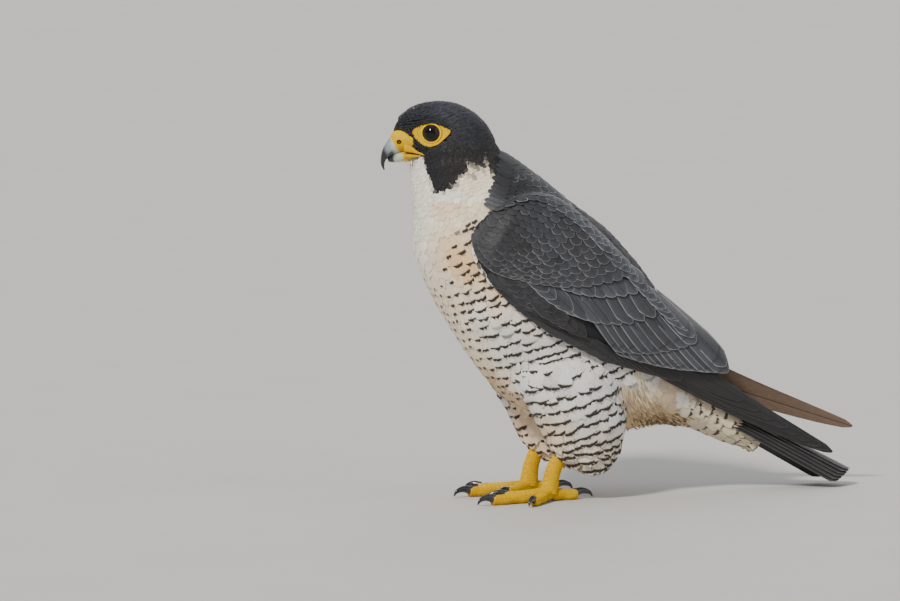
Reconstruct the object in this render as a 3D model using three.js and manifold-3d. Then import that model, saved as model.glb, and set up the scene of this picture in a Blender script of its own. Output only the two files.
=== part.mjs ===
// Peregrine falcon standing on flat ground, a still life-size model in millimetres.
// The bird faces -X with its head turned a little to its right. Its left side is -Y, up is +Z.
// The origin is on the floor, below the middle of the whole bird.
import * as THREE from "three";
import { mergeVertices } from "three/addons/utils/BufferGeometryUtils.js";
import Module from "manifold-3d";

const wasm = await Module();
wasm.setup();

// Driving sizes
const seam = 0.32; // gap between two pieces that touch
const cut = seam / 2; // what each side gives to a cut through the body
const seats = { bill: 3.5 * seam, jaw: 2.4 * seam, mouth: 2 * seam, leg: 1.5 * seam }; // corners move out by
const vaneThick = 0.62; // thickness of a flight feather's vane
const layerStep = 0.95; // rise from one stacked feather to the next
const headTurn = THREE.MathUtils.degToRad(20); // the head looks to the bird's right
const headPlace = [-70.2, 0, 271.2]; // turning point of the head, over the neck

// Body stations from the neck to the tail coverts: back x, z, front x, z, half width, turn in degrees
const bodyStations = [
  [-54, 281, -99, 266, 19, 20],
  [-42, 272, -104, 245, 25, 18],
  [-34, 260, -102.5, 229.5, 30, 14],
  [-20, 251.5, -101.5, 210, 39, 9],
  [0, 238, -100.5, 188, 48.5, 5],
  [21.5, 221.5, -91.5, 163.5, 54, 2],
  [45.5, 204, -78, 139, 55.5, 0],
  [65.5, 184, -61.5, 113, 54.5, 0],
  [81.5, 164.5, -45, 91, 51, 0],
  [96, 141, -27, 73, 46, 0],
  [106, 118, 2, 59, 40, 0],
  [113, 100, 42, 46, 33, 0],
  [121, 86.5, 78, 52, 26, 0],
  [134, 76, 112, 49, 20, 0],
  [155, 63, 146, 35.5, 15, 0],
  [172, 47, 171, 28, 9, 0],
];
const bodySquare = 0.94; // 1 would be true ovals
const bodyRings = 22;
const bodySides = 20;

// Head stations in the head's own frame, front to back: x, top, bottom, half width, z of the widest level
const headStations = [
  [-48.4, 6, 2, 2.2, 4],
  [-47, 11.5, -4, 4.2, 6],
  [-43, 17.2, -10, 6.8, 7],
  [-38, 21.2, -17, 9, 6],
  [-33, 24.6, -25, 13, 3],
  [-25.5, 27.4, -30, 19.6, -1],
  [-17, 28.8, -32.5, 23.8, -3.5],
  [-8, 28.8, -34.5, 25.3, -4.5],
  [1.5, 27, -36, 25.8, -5],
  [11.5, 22.3, -34, 24.6, -6],
  [19, 16.5, -30, 21.6, -7],
  [25, 9.5, -24, 16.5, -8],
  [30, 0, -17, 9, -9],
];
const headRings = 18;
const headSides = 22;
const eyePlace = [-16.7, 15.4, 6.1]; // in the head's frame, on the bird's right
const eyeRadius = 8.6;
const eyeOut = 12; // degrees that each eye looks forward
const lidRing = 7.7; // radius of the lid ring's middle
const lidThick = 1.45;
const lidStretch = [1.06, 0.98]; // the lid ring's length and height against a circle
const lidOut = 4.5; // how far the lid ring stands out from the eye's middle
const brow = { lift: 2.2, back: -1, up: 9.5, long: 11, high: 3.4 }; // ridge over the eye, from its middle
const hollow = { deep: 3, long: 9, high: 7 }; // dip in the side of the head round the eye
const sideFullness = 1.3; // how soon the ridge and dip reach their full height towards the side

// Line of mouth behind the bill: x, z and half width of the head there, and the groove's depth
const mouthLine = [
  [-37, -9.9, 7.5, 1.6],
  [-33, -9.9, 11.5, 1.3],
  [-29, -10.1, 15.2, 1.1],
  [-25.5, -10.4, 18.4, 0.9],
  [-23, -10.9, 20, 0.4],
];
const mouthHeight = 0.8;
const mouthReach = 3; // how far the cut goes beyond the head's side

// Bill stations in the head's frame: top x, z, bottom x, z, half width
const upperBillStations = [
  [-30, 4, -19, -10.4, 13],
  [-35.5, 6.6, -25, -10.2, 11.6],
  [-41, 7.6, -30.5, -9.6, 10.4],
  [-45.4, 6, -35.5, -9.2, 9.2],
  [-48.4, 2, -40, -9.8, 7.9],
  [-51.4, -2.7, -44.8, -11.4, 6.5],
  [-53.9, -7, -48.6, -13.2, 5.1],
  [-55.2, -11.6, -51, -15, 3.8],
  [-55.6, -16.2, -52.2, -17.4, 2.7],
  [-55, -19.9, -52.6, -20.2, 1.7],
  [-53.2, -23.2, -52.3, -22.8, 0.8],
];
const lowerBillStations = [
  [-24, -8, -28, -16, 9.6],
  [-33, -7.6, -34, -16.4, 8.6],
  [-41, -9, -40.5, -17, 6.6],
  [-46, -11, -45.4, -17.4, 4.8],
  [-50.4, -14, -49.6, -17, 2.8],
];
const nostrilPlace = [-41.6, -1.6];
const nostrilRadius = 1.9;
const nostrilFloor = 3; // distance of the pit's floor from the bill's middle
const nostrilKnob = { top: 0.35, root: 0.8, out: 10.4 }; // small cone inside the pit
const pitLength = 8;
const billSquare = 0.9; // 1 would be a true oval
const cereEdge = { place: [-45, 0, -4], facing: [-0.86, 0, -0.51] }; // where the bare base of the bill ends

// Wing sheet: a runs from the wrist to the tip, b across it and upwards, h outwards
const wingOrigin = [-73, 201];
const wingSlope = THREE.MathUtils.degToRad(32);
const wingReach = [ // how far out the sheet stands at each a, on its widest line
  [-12, 36], [0, 43.5], [20, 49], [60, 52.5], [100, 51],
  [150, 43], [200, 32], [250, 22], [300, 15.5], [372, 11.5],
];
const wingMiddle = [ // b of the widest line at each a
  [-12, 16], [13, 14], [37, 10], [64, 5], [91, 0], [120, -4], [372, -4],
];
const wingRoof = [ // b at which the sheet would come to the middle of the back
  [-12, 72], [42, 70], [69, 66], [99, 58], [126, 50], [150, 43],
  [173, 37], [200, 34], [250, 38], [300, 46], [372, 60],
];
const roofEnd = 0.9; // share of the way to the roof where the round side goes on as a straight slope
const underFall = 0.22; // how much the sheet comes in again below its widest line
const wingLower = [
  [-1, 8], [3, -2], [13, -12], [27, -18.5], [41, -21.6], [61, -24.5], [81, -27], [106, -27], [124, -24],
  [151, -16], [179, -11],
];
const wingUpper = [
  [-1, 12], [4, 27], [15, 43], [36, 56], [60, 58], [112, 48], [150, 36], [183, 26],
];
const wingFlesh = { front: -1, rear: 158, edge: 2.4, bulge: 9.6, thinner: 1.2, under: 0.4, rounding: 20 };

// The folded hand: its stack's height over the sheet, its root block and its primaries, outermost first
const handTop = 8;
const handLow = 0.4;
const handBlock = { from: 124, to: 196, raised: 5, high: 19, narrower: 7, front: 9, edge: 1.2 };
const primaryReach = [200, 193, 182, 167, 150, 130, 108];
const primaries = {
  a: 150, b: -9.5, spread: 10, direction: [5.6, 3], bend: 0.6, width: 15.5, root: 1.2, tip: 1.6,
};
const handCoverts = {
  count: 3, tipA: [160, 200], tipB: [-19, -6], direction: [2, 3], length: [42, 54],
  width: [12, 12], root: [2.2, 4.2], tip: [3.4, 5.8], tilt: 0.2,
};

// Spaces cut for the wings: how far each goes past the part that lies in it
const handRoom = { from: 116, to: 300, below: 14, above: 27, top: 1.2, under: 6 };
const wingRoom = { from: -2.2, to: 300, gap: 0.8, below: 5, above: 8.4, top: 70, under: 1 };

// Tail: a curved fan, convex upwards
const tailOrigin = [100, 88];
const tailSlope = THREE.MathUtils.degToRad(27.2);
const tailLength = 165;
const tailRound = [[-20, 13], [0, 16], [50, 22], [100, 25], [165, 23]]; // radius across it at each a
const tailRoot = { from: -8, to: 40, half: 20, top: 1.6, under: 6.4 };
const tailRoom = { from: -9, to: 190, half: 34, gap: 1.8, under: 7.6, open: 56, openFrom: 24, openOver: 10 };
const tailFeathers = {
  count: 6, a: 12, b: 2, apart: 2.3, fan: [0.7, 0.42], shorter: 1.6, width: 17, thick: 0.5,
};
const tailStack = { root: 0.4, rootStep: 0.9, tip: 0.6, tipStep: 0.98 }; // right half lies half a step lower
const tailCoverts = {
  count: 4, tipA: [70, 70], tipB: [-21, 21], direction: [-5, 5], length: [52, 52], width: [17, 17],
  root: [1, 1], tip: [2.4, 2.4],
};

// Legs
const thighStations = [ // z, middle x, half length, half width, middle y
  [119, 8, 18, 12, 26],
  [109, 6, 29, 20, 28],
  [95, 6, 37, 24.5, 30],
  [79, 11, 38.5, 25.5, 30.5],
  [63, 18, 35.5, 24, 30.5],
  [50, 21, 32.5, 21, 30],
  [38, 23, 26, 17.5, 29.5],
  [28, 26, 17, 12.5, 29],
  [21, 28.5, 6.5, 6, 28.5],
];
const legApart = 27; // from the middle of the bird
const legLine = [[11, 46, 0], [4, 34, 0.4], [-2.5, 21, 0.8], [-5.5, 6, 1]]; // x, z, share of the shift
const footShift = { left: 0, right: 4 }; // how far back each foot stands
const footTurn = { left: 14, right: -9 }; // degrees that each middle toe points outwards
const legRadius = [[0, 6.6], [0.35, 5.7], [0.7, 6.1], [1, 7.4]]; // from the ankle down
const legFlat = 0.8;
const toeArch = [[0, 6.4], [0.3, 5.1], [0.65, 4], [1, 3.7]]; // share of the toe's length, height
const toeFlat = 0.94;
const scuteRise = 0.42;
const padRise = 0.8;
const clawArch = [[-0.1, 4.8], [0.33, 6.1], [0.7, 4.6], [0.88, 1.2]]; // share of the claw's length, height
const clawRadius = 3.3;
const clawPoint = 0.28;
const clawFlat = 0.7;
const floor = { across: 600, deep: 60 };
const toes = [ // angle from the middle toe (outwards positive), length, radius at root and end, scutes, claw
  { name: "1", angle: 178, length: 24, root: 4.6, end: 3.9, scutes: 3, claw: 17 },
  { name: "2", angle: -31, length: 33, root: 4.6, end: 3.7, scutes: 4, claw: 16 },
  { name: "3", angle: 0, length: 51, root: 4.7, end: 3.5, scutes: 6, claw: 15 },
  { name: "4", angle: 38, length: 38, root: 4.3, end: 3.3, scutes: 5, claw: 12.5 },
];

// Numbers along a table of [place, value] rows, joined by a smooth curve
function along(table, place) {
  const last = table.length - 1;
  if (place <= table[0][0]) return table[0][1];
  if (place >= table[last][0]) return table[last][1];
  const i = table.findIndex((row, k) => k < last && place < table[k + 1][0]);
  const slope = (k) => {
    const lo = Math.max(0, k - 1);
    const hi = Math.min(last, k + 1);
    return (table[hi][1] - table[lo][1]) / (table[hi][0] - table[lo][0]);
  };
  const span = table[i + 1][0] - table[i][0];
  const t = (place - table[i][0]) / span;
  const t2 = t * t;
  const t3 = t2 * t;
  return (
    table[i][1] * (2 * t3 - 3 * t2 + 1) +
    table[i + 1][1] * (3 * t2 - 2 * t3) +
    slope(i) * span * (t3 - 2 * t2 + t) +
    slope(i + 1) * span * (t3 - t2)
  );
}

// A station between the rows of a table, by one smooth curve through each column, at t from 0 to 1
function station(rows, t) {
  return rows[0].map((_, c) => along(rows.map((row, k) => [k, row[c]]), t * (rows.length - 1)));
}

// A solid from points and triangles, turned to face outwards
function solidOf(points, triangles) {
  const flat = new THREE.BufferGeometry();
  flat.setAttribute("position", new THREE.Float32BufferAttribute(points.flat(), 3));
  flat.setIndex(triangles.flat());
  return solidFrom(flat);
}

function solidFrom(geometry) {
  const bare = geometry.clone();
  bare.deleteAttribute("normal");
  bare.deleteAttribute("uv");
  const merged = mergeVertices(bare, 1e-4);
  const index = merged.index.array;
  const kept = [];
  for (let i = 0; i < index.length; i += 3) {
    const [a, b, c] = [index[i], index[i + 1], index[i + 2]];
    if (a !== b && b !== c && a !== c) kept.push(a, b, c);
  }
  const build = (list) =>
    new wasm.Manifold(
      new wasm.Mesh({
        numProp: 3,
        vertProperties: new Float32Array(merged.attributes.position.array),
        triVerts: new Uint32Array(list),
      }),
    );
  const made = build(kept);
  if (made.volume() > 0) return made;
  const turned = [];
  for (let i = 0; i < kept.length; i += 3) turned.push(kept[i], kept[i + 2], kept[i + 1]);
  return build(turned);
}

const union = (list) => wasm.Manifold.union(list);

// The same solid with every corner pushed outwards, to cut a seat with a gap round it
function grown(solid, amount) {
  const mesh = solid.getMesh();
  const shape = new THREE.BufferGeometry();
  shape.setAttribute("position", new THREE.BufferAttribute(new Float32Array(mesh.vertProperties), 3));
  shape.setIndex(new THREE.BufferAttribute(new Uint32Array(mesh.triVerts), 1));
  shape.computeVertexNormals();
  const place = shape.attributes.position;
  const normal = shape.attributes.normal;
  for (let i = 0; i < place.count; i += 1) {
    place.setXYZ(
      i,
      place.getX(i) + amount * normal.getX(i),
      place.getY(i) + amount * normal.getY(i),
      place.getZ(i) + amount * normal.getZ(i),
    );
  }
  return solidFrom(shape);
}

// The largest closed body of a cut or joined solid
function largest(solid) {
  return solid.decompose().reduce((best, one) => (one.volume() > best.volume() ? one : best));
}

// A closed loft: ring(t) gives the points of one ring, and each end closes on its ring's middle
function loft(ring, rings, sides) {
  const points = [];
  const triangles = [];
  const middle = (list) => list[0].map((_, c) => list.reduce((sum, p) => sum + p[c], 0) / list.length);
  const first = Array.from({ length: rings }, (_, i) => ring(i / (rings - 1)));
  first.forEach((list) => points.push(...list));
  const head = points.push(middle(first[0])) - 1;
  const tail = points.push(middle(first[rings - 1])) - 1;
  for (let j = 0; j < sides; j += 1) {
    const k = (j + 1) % sides;
    triangles.push([head, k, j]);
    triangles.push([tail, (rings - 1) * sides + j, (rings - 1) * sides + k]);
    for (let i = 0; i < rings - 1; i += 1) {
      const [p, q] = [i * sides, (i + 1) * sides];
      triangles.push([p + j, p + k, q + j], [p + k, q + k, q + j]);
    }
  }
  return solidOf(points, triangles);
}

// A closed slab over a patch of a sheet, between two heights. The patch runs from lower(a) to upper(a).
function slab(sheet, patch, steps, across) {
  const points = [];
  const triangles = [];
  const put = (side) => {
    for (let i = 0; i <= steps; i += 1) {
      const a = patch.from + ((patch.to - patch.from) * i) / steps;
      for (let j = 0; j <= across; j += 1) {
        const q = j / across;
        const b = patch.lower(a) + (patch.upper(a) - patch.lower(a)) * q;
        points.push(sheet(a, b, side(a, q)));
      }
    }
  };
  put(patch.top);
  put(patch.bottom);
  const half = (steps + 1) * (across + 1);
  const at = (i, j, side) => side * half + i * (across + 1) + j;
  for (let i = 0; i < steps; i += 1) {
    for (let j = 0; j < across; j += 1) {
      for (const side of [0, 1]) {
        const [p, q] = [at(i, j, side), at(i + 1, j, side)];
        const [r, s] = [at(i + 1, j + 1, side), at(i, j + 1, side)];
        triangles.push(...(side ? [[p, r, q], [p, s, r]] : [[p, q, r], [p, r, s]]));
      }
    }
  }
  const wall = (p, q) => {
    triangles.push([p, q + half, q], [p, p + half, q + half]);
  };
  for (let i = 0; i < steps; i += 1) {
    wall(at(i, 0, 0), at(i + 1, 0, 0));
    wall(at(i + 1, across, 0), at(i, across, 0));
  }
  for (let j = 0; j < across; j += 1) {
    wall(at(0, j + 1, 0), at(0, j, 0));
    wall(at(steps, j, 0), at(steps, j + 1, 0));
  }
  return solidOf(points, triangles);
}

// Share of a feather's width at t from root to tip: the root's share, how soon it fills, the tip's sharpness
const outline = (root, fill, tip, fall) => (t) =>
  Math.min(1, root + fill * t) * Math.pow(Math.max(0, 1 - Math.pow(t, tip)), fall);
const roundTip = outline(0.72, 0.5, 5, 0.5);
const pointTip = outline(0.8, 0.4, 3.2, 0.575);
const leastWidth = 0.16; // share of the width left at the very tip
const tipThin = 0.7; // thickness at the tip against the rest

// One feather vane on a sheet: from its root at (a, b), in a direction, with a width that its shape gives
function vane(sheet, f) {
  const steps = f.steps ?? 3;
  const shape = f.shape ?? roundTip;
  const points = [];
  const triangles = [];
  for (let i = 0; i <= steps; i += 1) {
    const t = 1 - Math.pow(1 - i / steps, 1.5);
    const turn = f.direction + (f.bend ?? 0) * t;
    const a = f.a + f.length * t * Math.cos(turn);
    const b = f.b + f.length * t * Math.sin(turn);
    const half = (f.width / 2) * Math.max(leastWidth, shape(t));
    const rise = f.root + (f.tip - f.root) * t;
    for (const s of [-1, 1]) {
      const side = s * half;
      const h = rise - (f.tilt ?? 0) * s;
      const thick = (f.thick ?? vaneThick) * (i === steps ? tipThin : 1);
      const aa = a - side * Math.sin(turn);
      const bb = b + side * Math.cos(turn);
      points.push(sheet(aa, bb, h + thick / 2), sheet(aa, bb, h - thick / 2));
    }
  }
  const at = (i, j, low) => (i * 2 + j) * 2 + low;
  for (let i = 0; i < steps; i += 1) {
    for (const low of [0, 1]) {
      const [p, q, r, s] = [at(i, 0, low), at(i + 1, 0, low), at(i + 1, 1, low), at(i, 1, low)];
      triangles.push(...(low ? [[p, r, q], [p, s, r]] : [[p, q, r], [p, r, s]]));
    }
    triangles.push(
      [at(i, 0, 0), at(i + 1, 0, 1), at(i + 1, 0, 0)],
      [at(i, 0, 0), at(i, 0, 1), at(i + 1, 0, 1)],
      [at(i, 1, 0), at(i + 1, 1, 0), at(i + 1, 1, 1)],
      [at(i, 1, 0), at(i + 1, 1, 1), at(i, 1, 1)],
    );
  }
  triangles.push([at(0, 0, 0), at(0, 1, 0), at(0, 1, 1)], [at(0, 0, 0), at(0, 1, 1), at(0, 0, 1)]);
  triangles.push(
    [at(steps, 0, 0), at(steps, 1, 1), at(steps, 1, 0)],
    [at(steps, 0, 0), at(steps, 0, 1), at(steps, 1, 1)],
  );
  return solidOf(points, triangles);
}

// A ring of points, placed by the angle round it
function ringOf(sides, place) {
  return Array.from({ length: sides }, (_, j) => place((2 * Math.PI * j) / sides));
}

// Body
function bodyRing(t) {
  const [bx, bz, fx, fz, half, turn] = station(bodyStations, t);
  const [mx, mz] = [(bx + fx) / 2, (bz + fz) / 2];
  const [dx, dz] = [(bx - fx) / 2, (bz - fz) / 2];
  const yaw = THREE.MathUtils.degToRad(turn);
  return ringOf(bodySides, (angle) => {
    const c = Math.cos(angle);
    const s = Math.sin(angle);
    const out = -Math.sign(s) * Math.pow(Math.abs(s), bodySquare) * half;
    return [
      mx + dx * c * Math.cos(yaw) + out * Math.sin(yaw),
      out * Math.cos(yaw) - dx * c * Math.sin(yaw),
      mz + dz * c,
    ];
  });
}
const body = loft(bodyRing, bodyRings, bodySides);

// A point of the head's frame in the bird's frame
function fromHead([x, y, z]) {
  const [c, s] = [Math.cos(headTurn), Math.sin(headTurn)];
  return [headPlace[0] + x * c + y * s, headPlace[1] - x * s + y * c, headPlace[2] + z];
}
const headTurned = new THREE.Matrix4().makeRotationZ(-headTurn);
const headMatrix = headTurned.clone().setPosition(new THREE.Vector3(...headPlace));

const bell = (u, v) => Math.exp(-u * u - v * v);

// Head: an oval form with a brow over each eye and a hollow round it
function headRing(t) {
  const [x, top, bottom, half, widest] = station(headStations, t);
  return ringOf(headSides, (angle) => {
    const c = Math.cos(angle);
    const s = Math.sin(angle);
    const z = widest + (c > 0 ? top - widest : widest - bottom) * c;
    const side = Math.min(1, Math.abs(s) * sideFullness);
    const [dx, dz] = [x - eyePlace[0], z - eyePlace[2]];
    const dip = hollow.deep * bell(dx / hollow.long, dz / hollow.high);
    const ridge = brow.lift * bell((dx - brow.back) / brow.long, (dz - brow.up) / brow.high);
    return fromHead([x, half * s + Math.sign(s) * side * (ridge - dip), z]);
  });
}
const headForm = loft(headRing, headRings, headSides);

// A groove for the line of the mouth, open at the side of the head
function mouthGroove(side) {
  const ring = (t) => {
    const [x, z, wide, deep] = station(mouthLine, t);
    const [inner, outer] = [wide - deep, wide + mouthReach];
    return [[inner, -1], [inner, 1], [outer, 1], [outer, -1]].map(([y, up]) =>
      fromHead([x, side * y, z + (up * mouthHeight) / 2]),
    );
  };
  return loft(ring, 5, 4);
}

function eyeMatrix(side) {
  const turn = new THREE.Matrix4().makeRotationZ(side * THREE.MathUtils.degToRad(eyeOut));
  const place = new THREE.Vector3(eyePlace[0], side * eyePlace[1], eyePlace[2]);
  return headMatrix.clone().multiply(turn.setPosition(place));
}
const ball = (radius, side) =>
  solidFrom(new THREE.SphereGeometry(radius, 14, 8).rotateX(Math.PI / 2).applyMatrix4(eyeMatrix(side)));
function lidSolid(side) {
  const ring = new THREE.TorusGeometry(lidRing, lidThick, 5, 15);
  ring.scale(...lidStretch, 1);
  ring.rotateX(Math.PI / 2);
  ring.translate(0, side * lidOut, 0);
  return solidFrom(ring.applyMatrix4(eyeMatrix(side)));
}

// Bill
function billRing(rows, sides, t) {
  const [tx, tz, bx, bz, half] = station(rows, t);
  const [mx, mz] = [(tx + bx) / 2, (tz + bz) / 2];
  return ringOf(sides, (angle) => {
    const c = Math.cos(angle);
    const s = Math.sin(angle);
    const wide = half * Math.sign(s) * Math.pow(Math.abs(s), billSquare);
    return fromHead([mx + ((tx - bx) / 2) * c, wide, mz + ((tz - bz) / 2) * c]);
  });
}
const upperBill = loft((t) => billRing(upperBillStations, 12, t), 14, 12);
const lowerBill = loft((t) => billRing(lowerBillStations, 12, t), 7, 12);

function nostril(side) {
  const pit = new THREE.CylinderGeometry(nostrilRadius, nostrilRadius, pitLength, 10);
  pit.translate(0, nostrilFloor + pitLength / 2, 0);
  const knob = new THREE.CylinderGeometry(nostrilKnob.top, nostrilKnob.root, pitLength, 6);
  knob.translate(0, nostrilKnob.out - pitLength / 2, 0);
  const place = new THREE.Matrix4().makeTranslation(nostrilPlace[0], 0, nostrilPlace[1]);
  const turn = new THREE.Matrix4().makeRotationX(side > 0 ? 0 : Math.PI);
  const put = (g) => solidFrom(g.applyMatrix4(headMatrix.clone().multiply(place).multiply(turn)));
  return put(pit).subtract(put(knob));
}

// Wing sheet for one side of the bird, side -1 is its left
function wingSheet(side) {
  const [c, s] = [Math.cos(wingSlope), Math.sin(wingSlope)];
  const reach = (a, b) => {
    const middle = along(wingMiddle, a);
    const u = (b - middle) / (along(wingRoof, a) - middle);
    const round = u < 0 ? 1 - underFall * u * u : Math.sqrt(1 - Math.min(u, roofEnd) ** 2);
    const slope = roofEnd / Math.sqrt(1 - roofEnd ** 2);
    return along(wingReach, a) * (round - slope * Math.max(0, u - roofEnd));
  };
  return (a, b, h) => {
    const y = reach(a, b);
    const da = reach(a + 0.5, b) - reach(a - 0.5, b);
    const db = reach(a, b + 0.5) - reach(a, b - 0.5);
    const size = Math.hypot(da, db, 1);
    const aa = a - (da / size) * h;
    const bb = b - (db / size) * h;
    return [wingOrigin[0] + aa * c + bb * s, side * (y + h / size), wingOrigin[1] - aa * s + bb * c];
  };
}

const smooth = (x) => x * x * (3 - 2 * x);
const clamp = (x) => Math.min(1, Math.max(0, x));

// The wing's fleshy core, thick along its leading edge, with every covert rooted in it
function wingCore(sheet) {
  const { front, rear, edge, bulge, thinner, under, rounding } = wingFlesh;
  const thick = (a, q) => {
    const square = 3 + 3 * clamp((a - 60) / 60);
    const rim = Math.sqrt(clamp(1 - Math.abs(2 * q - 1) ** square));
    return edge + (bulge - thinner * clamp((a - 60) / 90)) * rim * smooth(clamp((a - front) / rounding));
  };
  return slab(
    sheet,
    {
      from: front,
      to: rear,
      lower: (a) => along(wingLower, a) + 6 * clamp((a - 60) / 60),
      upper: (a) => along(wingUpper, a),
      top: thick,
      bottom: () => under,
    },
    12,
    6,
  );
}

// A tier of feathers whose tips stand on a line from one place to another
function tier(sheet, plan) {
  return Array.from({ length: plan.count }, (_, i) => {
    const q = i / (plan.count - 1);
    const mix = (pair) => pair[0] + (pair[1] - pair[0]) * q;
    const direction = THREE.MathUtils.degToRad(mix(plan.direction));
    const length = mix(plan.length) * (1 + 0.03 * Math.sin(i * 2.4));
    const tipA = mix(plan.tipA);
    const tipB = mix(plan.tipB) + (plan.sag ?? 0) * 4 * q * (1 - q);
    return vane(sheet, {
      a: tipA - length * Math.cos(direction),
      b: tipB - length * Math.sin(direction),
      direction,
      length,
      width: mix(plan.width),
      root: mix(plan.root),
      tip: mix(plan.tip),
      tilt: plan.tilt,
      steps: plan.steps,
      shape: plan.shape,
    });
  });
}

const armTiers = [
  { // secondaries, then the long inner ones over them
    count: 7, tipA: [162, 240], tipB: [-12, 12], direction: [-18, -10], length: [84, 88], width: [20, 22],
    root: [10.2, 10], tip: [11.3, 11.7], tilt: 0.5, sag: -3,
  },
  { // greater coverts
    count: 6, tipA: [80, 168], tipB: [-16, 24], direction: [-32, -8], length: [42, 48], width: [22, 22],
    root: [8, 6], tip: [13.1, 13.4], tilt: 0.9, sag: -8,
  },
  { // median coverts
    count: 5, tipA: [54, 130], tipB: [-11, 36], direction: [-34, -6], length: [30, 36], width: [22, 22],
    root: [8, 6], tip: [14, 14.3], tilt: 0.9, sag: -7,
  },
  { // scapulars, along the back
    count: 3, tipA: [136, 204], tipB: [37, 17], direction: [-10, -14], length: [54, 60], width: [22, 20],
    root: [2, 3], tip: [8, 9.5], tilt: 0.5, sag: 2,
  },
];

// The folded hand: a root block under the arm with the primaries stacked in it, the outermost innermost
function handParts(sheet, fold) {
  const { from, to, raised, high, narrower, front, edge } = handBlock;
  const low = (a) => along(wingLower, a) + raised + fold.lift * clamp((a - 100) / 80);
  const swell = (a) => Math.sin(Math.PI * clamp((a - from + 4) / (to - from + 12))) ** 0.6;
  const block = slab(
    sheet,
    {
      from,
      to,
      lower: (a) => low(a) + front * (1 - smooth(clamp((a - from) / 26))),
      upper: (a) => low(a) + high - narrower * clamp((a - 150) / 40),
      top: (a) => handLow + edge + (handTop - handLow - edge) * swell(a),
      bottom: () => handLow,
    },
    5,
    2,
  );
  const flight = primaryReach.map((reach, i) => {
    const q = i / (primaryReach.length - 1);
    const [outer, inner] = primaries.direction;
    return vane(sheet, {
      a: primaries.a + fold.slide,
      b: primaries.b + fold.lift + primaries.spread * q,
      direction: THREE.MathUtils.degToRad(outer + (inner - outer) * q + fold.turn),
      bend: THREE.MathUtils.degToRad(primaries.bend),
      length: reach * fold.stretch,
      width: primaries.width - 1.5 * Math.abs(q - 0.4),
      root: primaries.root + layerStep * 0.65 * i,
      tip: primaries.tip + layerStep * i,
      steps: 4,
      shape: pointTip,
    });
  });
  const tipB = handCoverts.tipB.map((b) => b + fold.lift);
  return [block, ...flight, ...tier(sheet, { ...handCoverts, tipB })];
}

// How each wing is folded: the right hand is a little looser
const folds = {
  left: { side: -1, turn: 0, lift: 0, slide: 0, stretch: 1 },
  right: { side: 1, turn: 7, lift: 1, slide: 8, stretch: 1.05 },
};

// The space in the arm that the folded hand takes
function handSpace(sheet, fold) {
  const { from, to, below, above, top, under } = handRoom;
  const rise = Math.tan(THREE.MathUtils.degToRad(fold.turn));
  return slab(
    sheet,
    {
      from,
      to,
      lower: (a) => along(wingLower, a) - below,
      upper: (a) => along(wingLower, a) + above + fold.lift + Math.max(0, a - primaries.a) * rise,
      top: () => handTop + top,
      bottom: () => -under,
    },
    12,
    3,
  );
}

// The space that the folded wing takes from the side of the body
const bedLower = [...wingLower, [225, -9], [300, -4]];
const bedUpper = [...wingUpper.slice(0, -1), [183, 31], [240, 33], [300, 45]];
function wingBed(sheet) {
  const { from, to, gap, below, above, top, under } = wingRoom;
  return slab(
    sheet,
    {
      from,
      to,
      lower: (a) => along(bedLower, a) - gap - below * smooth(clamp((a - 100) / 30)),
      upper: (a) => along(bedUpper, a) + 2 * gap + above * smooth(clamp((a - 60) / 40)),
      top: () => top,
      bottom: () => -under,
    },
    18,
    8,
  );
}

function buildWing(fold) {
  const sheet = wingSheet(fold.side);
  const core = wingCore(sheet);
  const arm = union([core, ...armTiers.flatMap((plan) => tier(sheet, plan))]);
  return {
    arm: largest(arm.subtract(handSpace(sheet, fold))),
    hand: largest(union(handParts(sheet, fold))),
    bed: wingBed(sheet),
  };
}

// Tail sheet: a runs to the tip, b round the fan's cross-section, h outwards
function tailSheet(a, b, h) {
  const [c, s] = [Math.cos(tailSlope), Math.sin(tailSlope)];
  const radius = along(tailRound, a);
  const angle = b / radius;
  const up = (radius + h) * Math.cos(angle) - radius;
  return [tailOrigin[0] + a * c + up * s, (radius + h) * Math.sin(angle), tailOrigin[1] - a * s + up * c];
}

// The tail: a root with twelve stacked feathers and their coverts, the middle pair on top
function tailSolid() {
  const { from, to, half, top, under } = tailRoot;
  const root = slab(
    tailSheet,
    { from, to, lower: () => -half, upper: () => half, top: () => top, bottom: () => -under },
    3,
    6,
  );
  const { count, a, b, apart, fan, shorter, width, thick } = tailFeathers;
  const feathers = [-1, 1].flatMap((side) =>
    Array.from({ length: count }, (_, i) => {
      const layer = i + (side > 0 ? 0.5 : 0);
      return vane(tailSheet, {
        a,
        b: side * (b + apart * i),
        direction: side * THREE.MathUtils.degToRad(fan[0] + fan[1] * i),
        length: tailLength - a - shorter * i,
        width,
        root: tailStack.root - tailStack.rootStep * layer,
        tip: tailStack.tip - tailStack.tipStep * layer,
        thick,
      });
    }),
  );
  return largest(union([root, ...feathers, ...tier(tailSheet, tailCoverts)]));
}

// The space that the tail takes from the body, open upwards behind the coverts
function tailBed() {
  const { from, to, half, gap, under, open, openFrom, openOver } = tailRoom;
  return slab(
    tailSheet,
    {
      from,
      to,
      lower: () => -half,
      upper: () => half,
      top: (a) => tailRoot.top + gap + open * smooth(clamp((a - openFrom) / openOver)),
      bottom: () => -under,
    },
    10,
    6,
  );
}

// Legs
function thigh(side) {
  const ring = (t) => {
    const [z, x, long, wide, y] = station(thighStations, t);
    return ringOf(12, (angle) => [
      x + long * Math.cos(angle),
      side * (y + wide * Math.sin(angle)),
      z,
    ]);
  };
  return loft(ring, 10, 12);
}

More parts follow.
